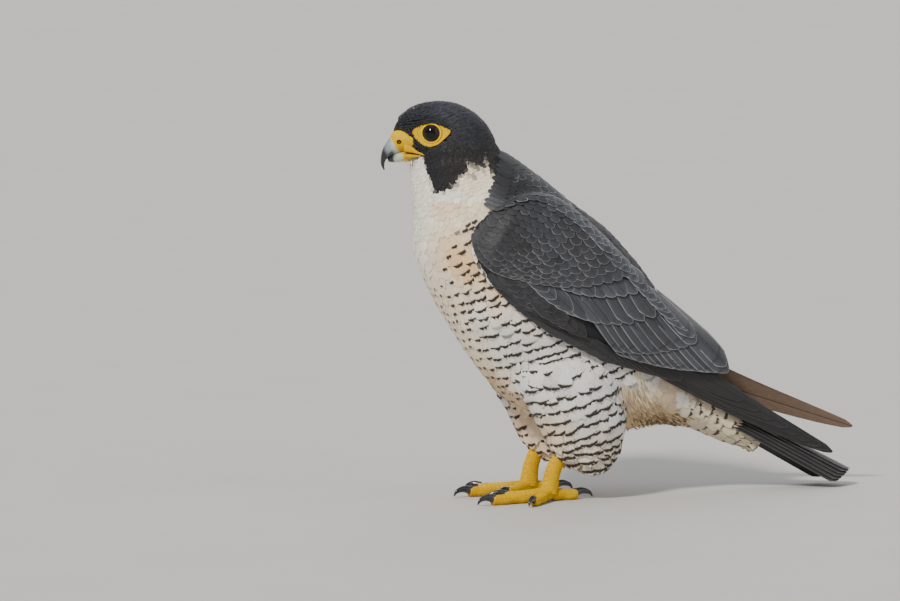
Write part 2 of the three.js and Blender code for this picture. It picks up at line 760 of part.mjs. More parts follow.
// A round limb along a curve, whose radius changes along it
function limb(curve, radius, rings, sides, flatten = 1) {
  const frames = curve.computeFrenetFrames(rings - 1, false);
  return loft(
    (t) => {
      const i = Math.round(t * (rings - 1));
      const middle = curve.getPointAt(t);
      const tangent = frames.tangents[i];
      const across = new THREE.Vector3(0, 0, 1).cross(tangent).normalize();
      const up = tangent.clone().cross(across).normalize();
      return ringOf(sides, (angle) => {
        const r = radius(t, angle);
        const p = middle
          .clone()
          .addScaledVector(across, r * flatten * Math.sin(angle))
          .addScaledVector(up, r * Math.cos(angle));
        return p.toArray();
      });
    },
    rings,
    sides,
  );
}

const floorBlock = () =>
  solidFrom(new THREE.BoxGeometry(floor.across, floor.across, floor.deep).translate(0, 0, -floor.deep / 2));

// Radius of a toe at t along it and at an angle round it: scutes on top, pads below
function toeRadius(toe, t, angle) {
  const wave = (t * toe.scutes) % 1;
  const plate = Math.cos(angle) > 0.2 && t > 0.15 ? scuteRise * (0.5 - wave) : 0;
  const pads = toe.scutes > 5 ? 3 : 2;
  const pad = Math.cos(angle) < 0 ? padRise * Math.sin(Math.PI * t * pads) ** 2 : 0;
  return toe.root + (toe.end - toe.root) * t + plate + pad;
}

function digitParts(toe, start, turn, side) {
  const heading = new THREE.Vector3(-Math.cos(turn), side * Math.sin(turn), 0);
  const point = (far, z) => start.clone().addScaledVector(heading, far).setZ(z);
  const path = new THREE.CatmullRomCurve3(toeArch.map(([share, z]) => point(toe.length * share, z)));
  const clawPath = new THREE.CatmullRomCurve3(
    clawArch.map(([share, z]) => point(toe.length + toe.claw * share, z)),
  );
  return {
    name: toe.name,
    digit: limb(path, (t, angle) => toeRadius(toe, t, angle), toe.scutes * 2 + 2, 7, toeFlat),
    claw: limb(clawPath, (t) => clawRadius * Math.pow(1 - t, 0.75) + clawPoint, 6, 6, clawFlat),
    tip: { point: point(toe.length, 0).toArray(), normal: heading.toArray() },
  };
}

function legParts(sideName) {
  const side = sideName === "left" ? -1 : 1;
  const shift = footShift[sideName];
  const places = legLine.map(([x, z, share]) => new THREE.Vector3(x + shift * share, side * legApart, z));
  const leg = limb(new THREE.CatmullRomCurve3(places), (t) => along(legRadius, t), 7, 9, legFlat);
  const start = places.at(-1).clone().setZ(0);
  const digits = toes.map((toe) =>
    digitParts(toe, start, THREE.MathUtils.degToRad(footTurn[sideName] + toe.angle), side),
  );
  return { side, leg, digits };
}

// Finishes
const finishes = {
  plumageDark: { color: 0x3b3f47, roughness: 0.75 },
  plumagePale: { color: 0xe6dccb, roughness: 0.85 },
  flight: { color: 0x2b2c31, roughness: 0.6 },
  skinYellow: { color: 0xf2b90c, roughness: 0.5 },
  horn: { color: 0x59636f, roughness: 0.35 },
  claw: { color: 0x151515, roughness: 0.3 },
  eye: { color: 0x0b0908, roughness: 0.05 },
};

// The whole bird, each piece with its own name and finish
const group = new THREE.Group();
function addMesh(name, solid, finish) {
  const mesh = solid.getMesh();
  const geometry = new THREE.BufferGeometry();
  geometry.setAttribute("position", new THREE.BufferAttribute(new Float32Array(mesh.vertProperties), 3));
  geometry.setIndex(new THREE.BufferAttribute(new Uint32Array(mesh.triVerts), 1));
  geometry.computeVertexNormals();
  const made = new THREE.Mesh(
    geometry,
    new THREE.MeshStandardMaterial({ ...finishes[finish], metalness: 0 }),
  );
  made.name = name;
  group.add(made);
}

// Parting planes: a point on the plane and the direction of the piece that lies behind it
const planes = {
  neck: { point: [-56, 0, 247], normal: [0.32, 0, -0.947] },
  chest: { point: [-55, 0, 219], normal: [0.46, 0, -0.888] },
  rump: { point: [118, 0, 80], normal: [0.8, 0, -0.6] },
};
function behind(solid, plane) {
  const n = new THREE.Vector3(...plane.normal).normalize();
  return solid.trimByPlane(n.toArray(), n.dot(new THREE.Vector3(...plane.point)) + cut);
}
function before(solid, plane) {
  const n = new THREE.Vector3(...plane.normal).normalize();
  return solid.trimByPlane(n.clone().negate().toArray(), cut - n.dot(new THREE.Vector3(...plane.point)));
}

const wings = { left: buildWing(folds.left), right: buildWing(folds.right) };
const whole = union([body, headForm]);
const beds = union([wings.left.bed, wings.right.bed]);
const eyeSockets = union([ball(eyeRadius + seam, -1), ball(eyeRadius + seam, 1)]);
const billSpace = union([grown(upperBill, seats.bill), grown(lowerBill, seats.jaw)]);
const tailSpace = tailBed();
const thighSpace = union([grown(thigh(-1), seats.leg), grown(thigh(1), seats.leg)]);

// Everything is put together here, cut clear of its neighbours
const mouth = union([mouthGroove(-1), mouthGroove(1)]);
const headSolid = union([before(whole, planes.neck), lidSolid(-1), lidSolid(1)])
  .subtract(eyeSockets)
  .subtract(billSpace)
  .subtract(mouth);
addMesh("head", largest(headSolid), "plumageDark");
addMesh("eye_left", ball(eyeRadius, -1), "eye");
addMesh("eye_right", ball(eyeRadius, 1), "eye");

const cereFacing = new THREE.Vector3(...cereEdge.facing).applyMatrix4(headTurned);
const cerePlane = { point: fromHead(cereEdge.place), normal: cereFacing.toArray() };
const nostrils = union([nostril(-1), nostril(1)]);
addMesh("bill_upper", largest(behind(upperBill, cerePlane)), "horn");
addMesh("cere", largest(before(upperBill, cerePlane).subtract(nostrils)), "skinYellow");
addMesh("bill_lower", largest(lowerBill.subtract(grown(upperBill, seats.mouth))), "horn");

addMesh("neck", largest(before(behind(whole, planes.neck), planes.chest).subtract(beds)), "plumagePale");
const trunkSpace = union([beds, thighSpace, tailSpace]);
const trunk = before(behind(whole, planes.chest), planes.rump).subtract(trunkSpace);
const rear = behind(whole, planes.rump).subtract(trunkSpace);
addMesh("torso", largest(trunk), "plumagePale");
addMesh("vent", largest(rear), "plumagePale");
addMesh("tail", tailSolid(), "flight");

for (const name of ["left", "right"]) {
  addMesh(`wing_${name}_arm`, wings[name].arm, "plumageDark");
  addMesh(`wing_${name}_hand`, wings[name].hand, "flight");
}

const ground = floorBlock();
for (const name of ["left", "right"]) {
  const { side, leg, digits } = legParts(name);
  const legSeat = grown(leg, seats.leg);
  addMesh(`thigh_${name}`, largest(thigh(side).subtract(beds).subtract(legSeat)), "plumagePale");
  addMesh(`leg_${name}`, largest(leg.subtract(ground)), "skinYellow");
  digits.forEach(({ name: number, digit, claw, tip }, i) => {
    const taken = union([ground, legSeat, ...digits.slice(0, i).map((other) => grown(other.digit, seam))]);
    addMesh(`toe_${name}_${number}`, largest(before(digit, tip).subtract(taken)), "skinYellow");
    addMesh(`claw_${name}_${number}`, largest(behind(claw, tip).subtract(ground)), "claw");
  });
}

const box = new THREE.Box3().setFromObject(group);
group.position.set(-(box.min.x + box.max.x) / 2, -(box.min.y + box.max.y) / 2, -box.min.z);

export default group;
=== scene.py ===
# Peregrine falcon standing still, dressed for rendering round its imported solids
from math import radians, pi
import bpy
import numpy as np
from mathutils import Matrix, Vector
from mathutils.bvhtree import BVHTree
from mathutils.kdtree import KDTree


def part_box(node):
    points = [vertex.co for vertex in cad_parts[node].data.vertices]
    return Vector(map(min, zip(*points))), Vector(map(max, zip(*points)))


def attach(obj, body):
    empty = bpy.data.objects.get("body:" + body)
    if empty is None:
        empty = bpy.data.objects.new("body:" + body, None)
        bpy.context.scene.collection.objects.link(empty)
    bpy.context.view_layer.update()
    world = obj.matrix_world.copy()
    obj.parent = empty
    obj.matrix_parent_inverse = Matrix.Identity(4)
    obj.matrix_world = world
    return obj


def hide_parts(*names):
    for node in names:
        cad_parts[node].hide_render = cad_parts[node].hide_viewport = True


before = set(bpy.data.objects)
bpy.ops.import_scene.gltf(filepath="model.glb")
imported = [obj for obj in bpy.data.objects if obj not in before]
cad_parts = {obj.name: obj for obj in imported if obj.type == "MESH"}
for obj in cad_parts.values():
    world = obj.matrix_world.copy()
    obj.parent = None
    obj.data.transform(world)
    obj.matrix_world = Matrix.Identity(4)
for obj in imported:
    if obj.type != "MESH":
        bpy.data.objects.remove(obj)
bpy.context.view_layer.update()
scene = bpy.context.scene
print("frame loaded,", len(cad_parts), "nodes")

# Shared sizes
# All lengths below are millimetres in the bird's own frame, with its origin between the feet.
bird = {
    "headTurn": radians(20), "headPlace": (-70.2, 0.0, 271.2), "eyePlace": (-16.7, 15.4, 6.1),
    "eyeRadius": 8.6, "eyeOut": radians(12), "coatDepth": 2.3
}

# Value of a table at a place: a cubic between two rows, its slope at a row taken from the rows on both
# sides.
def tableValue(rows, place):
    rows = np.asarray(rows, float)
    x, y = rows[:, 0], rows[:, 1:]
    place = np.clip(np.asarray(place, float), x[0], x[-1])
    i = np.clip(np.searchsorted(x, place, side="right") - 1, 0, len(x) - 2)
    low = np.maximum(np.arange(len(x)) - 1, 0)
    high = np.minimum(np.arange(len(x)) + 1, len(x) - 1)
    slope = (y[high] - y[low]) / (x[high] - x[low])[:, None]
    span = (x[i + 1] - x[i])[..., None]
    t = (place - x[i])[..., None] / span
    value = (
        y[i] * (2 * t**3 - 3 * t**2 + 1) + y[i + 1] * (3 * t**2 - 2 * t**3)
        + slope[i] * span * (t**3 - 2 * t**2 + t) + slope[i + 1] * span * (t**3 - t**2)
    )
    return value[..., 0] if value.shape[-1] == 1 else value


# The same with rows spread evenly from 0 to 1.
def stationValue(rows, t):
    rows = np.asarray(rows, float)
    numbered = np.column_stack([np.arange(len(rows)), rows])
    return tableValue(numbered, np.asarray(t, float) * (len(rows) - 1))


def ease(low, high, value):
    t = np.clip((np.asarray(value, float) - low) / (high - low), 0, 1)
    return t * t * (3 - 2 * t)


def unit(v):
    return v / np.maximum(np.linalg.norm(v, axis=-1, keepdims=True), 1e-9)


def mix(a, b, t):
    return a + (b - a) * t


def stacked(*parts):
    return np.stack(parts, -1)


def gridOf(*lines):
    return np.meshgrid(*lines, indexing="ij")


# Angles of a full turn in equal steps, without the last one that meets the first.
def turnsOf(count):
    return np.arange(count) * 2 * pi / count


# A point of the head's own frame in the bird's frame: turned about the upright axis, then moved.
def fromHead(p):
    p = np.asarray(p, float)
    c, s = np.cos(bird["headTurn"]), np.sin(bird["headTurn"])
    place = bird["headPlace"]
    x, y, z = p[..., 0], p[..., 1], p[..., 2]
    return stacked(place[0] + x * c + y * s, place[1] - x * s + y * c, place[2] + z)


def toHead(p):
    c, s = np.cos(bird["headTurn"]), np.sin(bird["headTurn"])
    d = np.asarray(p, float) - np.array(bird["headPlace"])
    return stacked(d[..., 0] * c - d[..., 1] * s, d[..., 0] * s + d[..., 1] * c, d[..., 2])


# Where the bird's frame lies in the model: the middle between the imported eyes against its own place.
eyeBoxes = [np.array(corner) for side in ("left", "right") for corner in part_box("eye_" + side)]
eyeMiddle = np.mean(eyeBoxes, axis=0) * 1000
shift = eyeMiddle - fromHead((bird["eyePlace"][0], 0, bird["eyePlace"][2]))
print("bird frame shifted by", np.round(shift, 2))


# Mesh helpers
# A mesh object from points in the bird's frame and lists of faces; points go to metres in the model's
# frame.
def makeMesh(name, points, faceSets, flip=False):
    points = (np.asarray(points, float).reshape(-1, 3) + shift) / 1000
    faceSets = [np.asarray(f, np.int32) for f in faceSets if len(f)]
    if flip:
        faceSets = [f[:, ::-1] for f in faceSets]
    loops = np.concatenate([f.ravel() for f in faceSets])
    sizes = np.concatenate([np.full(len(f), f.shape[1]) for f in faceSets])
    starts = np.concatenate([[0], np.cumsum(sizes)[:-1]])
    mesh = bpy.data.meshes.new(name)
    mesh.vertices.add(len(points))
    mesh.vertices.foreach_set("co", points.ravel().astype(np.float32))
    mesh.loops.add(len(loops))
    mesh.loops.foreach_set("vertex_index", loops.astype(np.int32))
    mesh.polygons.add(len(sizes))
    mesh.polygons.foreach_set("loop_start", starts.astype(np.int32))
    mesh.polygons.foreach_set("use_smooth", np.ones(len(sizes), bool))
    mesh.update(calc_edges=True)
    mesh.validate()
    piece = bpy.data.objects.new(name, mesh)
    scene.collection.objects.link(piece)
    return piece


def meshPoints(piece):
    co = np.empty(len(piece.data.vertices) * 3, np.float32)
    piece.data.vertices.foreach_get("co", co)
    return co.reshape(-1, 3).astype(float) * 1000 - shift


def setVector(piece, name, values):
    layer = piece.data.attributes.new(name, "FLOAT_VECTOR", "POINT")
    layer.data.foreach_set("vector", np.asarray(values, np.float32).ravel())


def setColour(piece, name, values):
    values = np.asarray(values, np.float32).reshape(len(piece.data.vertices), -1)
    if values.shape[1] == 3:
        values = np.column_stack([values, np.ones(len(values), np.float32)])
    layer = piece.data.attributes.new(name, "FLOAT_COLOR", "POINT")
    layer.data.foreach_set("color", values.ravel())


def setUv(piece, name, perPoint):
    index = np.empty(len(piece.data.loops), np.int32)
    piece.data.loops.foreach_get("vertex_index", index)
    layer = piece.data.uv_layers.new(name=name)
    layer.data.foreach_set("uv", np.asarray(perPoint, np.float32).reshape(-1, 2)[index].ravel())


def finishPiece(piece, material, nodes=()):
    piece.data.materials.clear()
    piece.data.materials.append(material)
    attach(piece, "root")
    if nodes:
        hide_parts(*nodes)
    return piece


# Faces of a tube of rings x sides points, closed at both ends by a fan to one more point each.
def tubeFaces(rings, sides):
    i, j = gridOf(np.arange(rings - 1), np.arange(sides))
    k = (j + 1) % sides
    quads = stacked(i * sides + j, i * sides + k, (i + 1) * sides + k, (i + 1) * sides + j).reshape(-1, 4)
    j = np.arange(sides)
    k = (j + 1) % sides
    first = stacked(np.full(sides, rings * sides), k, j)
    base = (rings - 1) * sides
    last = stacked(np.full(sides, rings * sides + 1), base + j, base + k)
    return [quads, np.concatenate([first, last])]


# A closed tube object from a grid of points (rings, sides, 3). A negative volume is turned outwards.
def tubeMesh(name, grid):
    rings, sides = grid.shape[:2]
    points = np.concatenate([grid.reshape(-1, 3), grid[0].mean(0)[None], grid[-1].mean(0)[None]])
    faces = tubeFaces(rings, sides)
    tris = np.concatenate([faces[0][:, [0, 1, 2]], faces[0][:, [0, 2, 3]], faces[1]])
    a, b, c = (points[tris[:, k]] - points.mean(0) for k in range(3))
    inside = np.einsum("ij,ij->i", a, np.cross(b, c)).sum() < 0
    return makeMesh(name, points, faces, flip=inside)


# Forms of the bird
bodyShape = {
    # back x, z, front x, z, half width, turn in degrees, from the neck to the tail coverts
    "stations": [
        [-54, 281, -99, 266, 19, 20], [-42, 272, -104, 245, 25, 18], [-34, 260, -102.5, 229.5, 30, 14],
        [-20, 251.5, -101.5, 210, 39, 9], [0, 238, -100.5, 188, 48.5, 5],
        [21.5, 221.5, -91.5, 163.5, 54, 2],
        [45.5, 204, -78, 139, 55.5, 0], [65.5, 184, -61.5, 113, 54.5, 0], [81.5, 164.5, -45, 91, 51, 0],
        [96, 141, -27, 73, 46, 0], [106, 118, 2, 59, 40, 0], [113, 100, 42, 46, 33, 0],
        [121, 86.5, 78, 52, 26, 0],
        [134, 76, 112, 49, 20, 0], [155, 63, 146, 35.5, 15, 0], [172, 47, 171, 28, 9, 0],
    ],
    "square": 0.94,
}
headShape = {
    # x, top, bottom, half width, height of the widest level, in the head's frame
    "stations": [
        [-48.4, 6, 2, 2.2, 4], [-47, 11.5, -4, 4.2, 6], [-43, 17.2, -10, 6.8, 7], [-38, 21.2, -17, 9, 6],
        [-33, 24.6, -25, 13, 3], [-25.5, 27.4, -30, 19.6, -1], [-17, 28.8, -32.5, 23.8, -3.5],
        [-8, 28.8, -34.5, 25.3, -4.5], [1.5, 27, -36, 25.8, -5], [11.5, 22.3, -34, 24.6, -6],
        [19, 16.5, -30, 21.6, -7], [25, 9.5, -24, 16.5, -8], [30, 0, -17, 9, -9],
    ],
    "brow": 2.2,
    "hollow": 3.0,
}
thighShape = {
    # z, middle x, half length, half width, middle y
    "stations": [
        [119, 8, 18, 12, 26], [109, 6, 29, 20, 28], [95, 6, 37, 24.5, 30], [79, 11, 38.5, 25.5, 30.5],
        [63, 18, 35.5, 24, 30.5], [50, 21, 32.5, 21, 30], [38, 23, 26, 17.5, 29.5], [28, 26, 17, 12.5, 29],
        [21, 28.5, 6.5, 6, 28.5],
    ],
}


# Body: each ring is an oval about the middle of its back and front points, a little square, turned about
# the upright.
def bodyPoint(t, angle):
    bx, bz, fx, fz, half, turn = np.moveaxis(stationValue(bodyShape["stations"], t), -1, 0)
    c, s = np.cos(angle), np.sin(angle)
    out = -np.sign(s) * np.abs(s) ** bodyShape["square"] * half
    yaw = np.radians(turn)
    dx = (bx - fx) / 2 * c
    return stacked(
            (bx + fx) / 2 + dx * np.cos(yaw) + out * np.sin(yaw), out * np.cos(yaw) - dx * np.sin(yaw),
            (bz + fz) / 2 + (bz - fz) / 2 * c
        )


# Side of the head: how far the oval stands out, with a ridge over the eye and a hollow round it.
def headSwell(x, z, side):
    ex, ez = bird["eyePlace"][0], bird["eyePlace"][2]
    near = np.exp(-(((x - ex) / 9) ** 2) - ((z - ez) / 7) ** 2)
    brow = np.exp(-(((x - ex + 1) / 11) ** 2) - ((z - ez - 9.5) / 3.4) ** 2)
    return side * (headShape["brow"] * brow - headShape["hollow"] * near)


def headLocal(t, angle):
    x, top, bottom, half, widest = np.moveaxis(stationValue(headShape["stations"], t), -1, 0)
    c, s = np.cos(angle), np.sin(angle)
    z = widest + np.where(c > 0, top - widest, widest - bottom) * c
    y = half * s
    y = y + np.sign(y) * headSwell(x, z, np.minimum(1, np.abs(s) * 1.3))
    return stacked(x, y, z)


def headPoint(t, angle):
    return fromHead(headLocal(t, angle))


# Half width of the head at a place seen from its side: the oval of that place's ring, with brow and hollow.
def headSideWidth(x, z):
    stations = np.array(headShape["stations"], float)
    top, bottom, half, widest = np.moveaxis(tableValue(stations, x), -1, 0)
    c = np.where(z > widest, (z - widest) / (top - widest), (widest - z) / (widest - bottom))
    s = np.sqrt(np.clip(1 - c**2, 0, 1))
    return half * s + headSwell(x, z, np.minimum(1, s * 1.3))


# Thigh: level ovals down to the tibia's rim.
def thighPoint(t, angle, side):
    z, x, longHalf, wideHalf, y = np.moveaxis(stationValue(thighShape["stations"], t), -1, 0)
    return stacked(x + longHalf * np.cos(angle), side * (y + wideHalf * np.sin(angle)), z)


wingShape = {
    "origin": (-73, 201),
    "slope": radians(32),
    "reach": [
        [-12, 36], [0, 43.5], [20, 49], [60, 52.5], [100, 51], [150, 43], [200, 32], [250, 22], [300, 15.5],
        [372, 11.5]
    ],
    "middle": [[-12, 16], [13, 14], [37, 10], [64, 5], [91, 0], [120, -4], [372, -4]],
    "roof": [
        [-12, 72], [42, 70], [69, 66], [99, 58], [126, 50], [150, 43], [173, 37], [200, 34], [250, 38],
        [300, 46], [372, 60],
    ],
    "lower": [
        [-1, 8], [3, -2], [13, -12], [27, -18.5], [41, -21.6], [61, -24.5], [81, -27], [106, -27],
        [124, -24], [151, -16], [179, -11],
    ],
    "upper": [[-1, 12], [4, 27], [15, 43], [36, 56], [60, 58], [112, 48], [150, 36], [183, 26]],
}


# Wing sheet: a from the wrist to the tip, b upwards, h outwards along the sheet's normal. Its distance from
# the middle plane rolls in like an ellipse from the widest line up to the roof line.
def wingReach(a, b):
    middle = tableValue(wingShape["middle"], a)
    u = (b - middle) / (tableValue(wingShape["roof"], a) - middle)
    roll = np.where(
        u < 0, 1 - 0.22 * u * u,
        np.where(u < 0.9, np.sqrt(np.clip(1 - u * u, 0, 1)), 0.436 - 2.06 * (u - 0.9)),
    )
    return tableValue(wingShape["reach"], a) * roll


def wingPoint(a, b, h, side):
    c, s = np.cos(wingShape["slope"]), np.sin(wingShape["slope"])
    y = wingReach(a, b)
    da = wingReach(a + 0.5, b) - wingReach(a - 0.5, b)
    db = wingReach(a, b + 0.5) - wingReach(a, b - 0.5)
    size = np.sqrt(da**2 + db**2 + 1)
    aa, bb = a - da / size * h, b - db / size * h
    ox, oz = wingShape["origin"]
    return stacked(ox + aa * c + bb * s, side * (y + h / size), oz - aa * s + bb * c)


tailShape = {
    "origin": (100, 88), "slope": radians(27.2),
    "round": [[-20, 13], [0, 16], [50, 22], [100, 25], [165, 23]]
}


# Tail sheet: a to the tip, b round an arc whose radius changes along it, h outwards.
def tailPoint(a, b, h):
    c, s = np.cos(tailShape["slope"]), np.sin(tailShape["slope"])
    radius = tableValue(tailShape["round"], a)
    up = (radius + h) * np.cos(b / radius) - radius
    ox, oz = tailShape["origin"]
    return stacked(ox + a * c + up * s, (radius + h) * np.sin(b / radius), oz - a * s + up * c)


# Skin
skinPlan = {"voxel": 1.7, "smooth": 8, "shrink": -bird["coatDepth"]}


def formTube(surface, rings, sides):
    t, angle = gridOf(np.linspace(0, 1, rings), turnsOf(sides))
    return tubeMesh("form", surface(t, angle))


# One closed surface round the body, head and thighs: their tubes joined, remeshed and smoothed.
def joinForms(name):
    forms = [
        formTube(bodyPoint, 90, 72), formTube(headPoint, 60, 64),
        formTube(lambda t, angle: thighPoint(t, angle, -1), 50, 40),
        formTube(lambda t, angle: thighPoint(t, angle, 1), 50, 40)
    ]
    with bpy.context.temp_override(active_object=forms[0], selected_editable_objects=forms):
        bpy.ops.object.join()
    whole = forms[0]
    remesh = whole.modifiers.new("remesh", "REMESH")
    remesh.mode = "VOXEL"
    remesh.voxel_size = skinPlan["voxel"] / 1000
    remesh.use_smooth_shade = True
    soften = whole.modifiers.new("soften", "SMOOTH")
    soften.iterations = skinPlan["smooth"]
    soften.factor = 0.5
    bpy.context.view_layer.update()
    made = bpy.data.meshes.new_from_object(whole.evaluated_get(bpy.context.evaluated_depsgraph_get()))
    bpy.data.objects.remove(whole)
    piece = bpy.data.objects.new(name, made)
    scene.collection.objects.link(piece)
    return piece


skin = joinForms("skin")
skinPoints = meshPoints(skin)
skinNormals = np.empty(len(skinPoints) * 3, np.float32)
skin.data.vertices.foreach_get("normal", skinNormals)
skinNormals = skinNormals.reshape(-1, 3).astype(float)
skinFaces = [tuple(p.vertices) for p in skin.data.polygons]
faceNormals = unit(np.array([skinNormals[list(f)].mean(0) for f in skinFaces]))
coatTree = BVHTree.FromPolygons([tuple(p) for p in skinPoints], skinFaces)
print("skin form,", len(skinPoints), "points")


# Nearest places on the coat's outer surface, their normals and distances.
def drape(points):
    found = [coatTree.find_nearest(p) for p in points.tolist()]
    place = np.array([f[0][:] for f in found])
    return place, faceNormals[[f[2] for f in found]], np.array([f[3] for f in found])


# Markings
# Colours are linear light. Each function takes points of the bird's frame and gives one colour a point.
hue = {
    "slateDeep": (0.014, 0.015, 0.019),
    "white": (0.88, 0.83, 0.73),
    "cream": (0.84, 0.68, 0.46),
    "peach": (0.80, 0.52, 0.27),
    "buff": (0.46, 0.29, 0.12),
    "buffPale": (0.62, 0.44, 0.24),
    "flankGrey": (0.70, 0.69, 0.67),
    "ink": (0.022, 0.018, 0.016),
    "mask": (0.020, 0.021, 0.027),
}


def wobble(p, size, seed=0.0):
    q = np.asarray(p, float) / size + seed
    x, y, z = q[..., 0], q[..., 1], q[..., 2]
    return (
        np.sin(x * 1.7 + 1.3 * np.sin(y * 1.1 + z)) + np.sin(y * 2.1 + 1.7 * np.sin(z * 0.9 + x))
        + np.sin(z * 1.9 + x * 0.7)
    ) / 3


# A colour or an array of them moved towards another by an amount at each place.
def tint(base, other, amount):
    base = np.asarray(base, float)
    return base + (np.asarray(other) - base) * np.asarray(amount)[..., None]


headMarks = {
    # front and rear edge of the dark moustache and the edge of the nape: height, x in the head's frame
    # top of the cheek: x, height there
    "front": [
        [-60, -16], [-37, -16.3], [-35, -16.8], [-29.3, -18.4], [-21.4, -21.6], [-12, -24.2], [-9, -27]
    ],
    "rear": [[-60, -10], [-37, -10.5], [-33.5, -4.2], [-29, 0.8], [-23, 4.8], [-17, 8.5], [-14, 12]],
    "cheekTop": [[-20, -16], [8, -16.5], [14, -19], [20, -17], [27, -17.5], [40, -18]],
    "napeEdge": [[-60, 26], [-45, 27], [-36, 28.5], [-25, 27.5], [-17, 24]],
}


# How white the head is, 0 to 1: the chin in front of the moustache, all below it, and the patch behind it.
def headWhite(local):
    x, y, z = local[..., 0], np.abs(local[..., 1]), local[..., 2]
    ragged = 1.5 * wobble(local, 2.6) + 0.9 * wobble(local, 1.1, 3)
    front = tableValue(headMarks["front"], z)
    rear = tableValue(headMarks["rear"], z)
    cheekTop = tableValue(headMarks["cheekTop"], x)
    nape = tableValue(headMarks["napeEdge"], z)
    chin = ease(-1, 1, front - x + 0.4 * ragged) * ease(-10.5, -13, z)
    throat = ease(11.5, 8.5, y) * ease(-17, -20, z) * ease(6, 0, x)
    below = ease(-34.5, -37, z + 0.6 * ragged)
    streak = wobble(stacked(x * 1.5, 0 * x, z * 0.3 - x * 0.3), 1.5, 4)
    cheek = (
        ease(-2.2, 2.6, x - rear + ragged + 2.2 * streak)
        * ease(4, -8, z - cheekTop - 1.4 * ragged - 6 * streak)
    )
    white = np.maximum(np.maximum(chin, throat), np.maximum(below, cheek))
    return white * ease(1.2, -1.2, x - nape + 0.7 * ragged)


def headHue(p):
    local = toHead(p)
    x, z = local[..., 0], local[..., 2]
    crown = ease(6, 24, z) * ease(30, -10, x)
    dark = tint(hue["mask"], (0.034, 0.037, 0.050), 0.85 * crown)
    dark = tint(dark, (0.036, 0.031, 0.028), 0.6 * ease(4, -8, z) * ease(-25, 0, x))
    brow = ease(-38, -43, x) * ease(6, 8.5, z) * ease(12, 9.5, z)
    dark = tint(dark, (0.16, 0.145, 0.12), 0.6 * brow * ease(0.0, 0.6, wobble(local, 1.3, 7)))
    dark = tint(
        dark, (0.008, 0.008, 0.010), 0.85 * ease(13, 9, np.hypot((x - bird["eyePlace"][0]) * 0.8, z - 8))
    )
    pale = tint(hue["white"], hue["cream"], 0.55 * ease(-8, 8, x) * ease(-40, -34, z))
    return tint(dark, pale, headWhite(local))


# How far round from the back the dark mantle reaches at each station of the body, in degrees.
mantleReach = [
    [0, 43], [1, 37], [2, 47], [3, 64], [4, 78], [5, 80], [6, 80], [8, 74], [9, 64], [10, 50], [11, 40],
    [12, 32], [13, 34], [15, 48]
]


# Body colour: white breast, cream at its sides, grey white flanks, buff behind, slate on the back.
def bodyHue(p, t, angle):
    fromBack = np.degrees(np.arccos(np.cos(angle)))
    station = t * (len(bodyShape["stations"]) - 1)
    x, y, z = p[..., 0], np.abs(p[..., 1]), p[..., 2]
    ragged = wobble(p, 7)
    side = ease(12, 30, y + 5 * ragged)
    colour = tint(hue["white"], hue["cream"], 0.8 * side * ease(262, 245, z) * ease(140, 175, z))
    peach = (
        0.8 * ease(-0.3, 0.5, wobble(p, 11, 5)) * side * ease(135, 165, z) * mix(1, 0.35, ease(195, 215, z))
    )
    colour = tint(colour, hue["peach"], peach)
    lower = ease(195, 150, z)
    colour = tint(colour, hue["cream"], 0.6 * lower * ease(30, 16, y))
    colour = tint(colour, hue["flankGrey"], 0.8 * ease(150, 122, z) * ease(20, 34, y))
    belly = ease(120, 85, z) * ease(24, 12, y) * ease(60, 20, x)
    colour = tint(colour, hue["buffPale"], 0.75 * belly)
    vent = ease(9.6, 10.6, station) * ease(12.6, 11.6, station)
    colour = tint(colour, hue["buff"], 0.75 * vent * ease(-0.8, 0.5, ragged + ease(60, 40, z)))
    behind = ease(9.3, 9.8, station) * ease(96, 76, x) * ease(92, 78, z)
    colour = tint(colour, hue["buffPale"], 0.8 * behind)
    under = ease(11.8, 12.6, station)
    colour = tint(colour, (0.66, 0.57, 0.41), 0.85 * under)
    edge = tableValue(mantleReach, station)
    back = ease(3, -3, fromBack - edge + 3 * ragged)
    backHue = tint(hue["slateDeep"], (0.050, 0.055, 0.068), ease(3.5, 9, station))
    backHue = tint(backHue, (0.013, 0.014, 0.018), ease(216, 230, z))
    colour = tint(colour, headHue(p), ease(-44, -41, toHead(p)[..., 2]))
    return tint(colour, backHue, back), back


# One mark a feather: half width and distance from the tip in centimetres, strength, and a chance.
def markOf(half, place, strength, count, rng):
    wide = [np.broadcast_to(np.asarray(value, float), (count,)) for value in (half, place, strength)]
    return np.stack([*wide, rng.random(count)], -1)


# Marks on body feathers: half width, distance from the tip and strength of the dark bar across each, and a
# chance. Small spots in front grow to hearts at the sides of the breast and to whole bars on the flank.
def bodyMark(p, t, back, rng):
    station = t * (len(bodyShape["stations"]) - 1)
    y, z = np.abs(p[..., 1]), p[..., 2]
    toSide = ease(8, 34, y)
    start = mix(182, 232, ease(20, 44, y))
    grow = ease(0, 50, start - z + 7 * wobble(p, 9))
    full = ease(0.45, 1, grow) * ease(26, 40, y)
    half = mix(mix(0.9, 1.8, grow), mix(2.2, 3.8, grow), toSide) + 4.2 * full
    chance = rng.random(len(p))
    strength = ease(0.02, 0.16, grow) * np.where(chance < mix(0.7, 0.94, grow), 1, 0)
    strength = strength * ease(-1.0, -0.75, wobble(p, 14, 3))
    under = ease(11.4, 12.0, station)
    half = mix(half, 8.5, under)
    strength = np.where(under > 0.5, np.where(chance < 0.93, 0.95, 0), strength)
    vent = ease(9.2, 10.0, station) * (1 - under)
    strength = strength * (1 - 0.92 * vent) * (1 - back)
    return markOf(half / 10, 0.30, strength, len(p), rng)


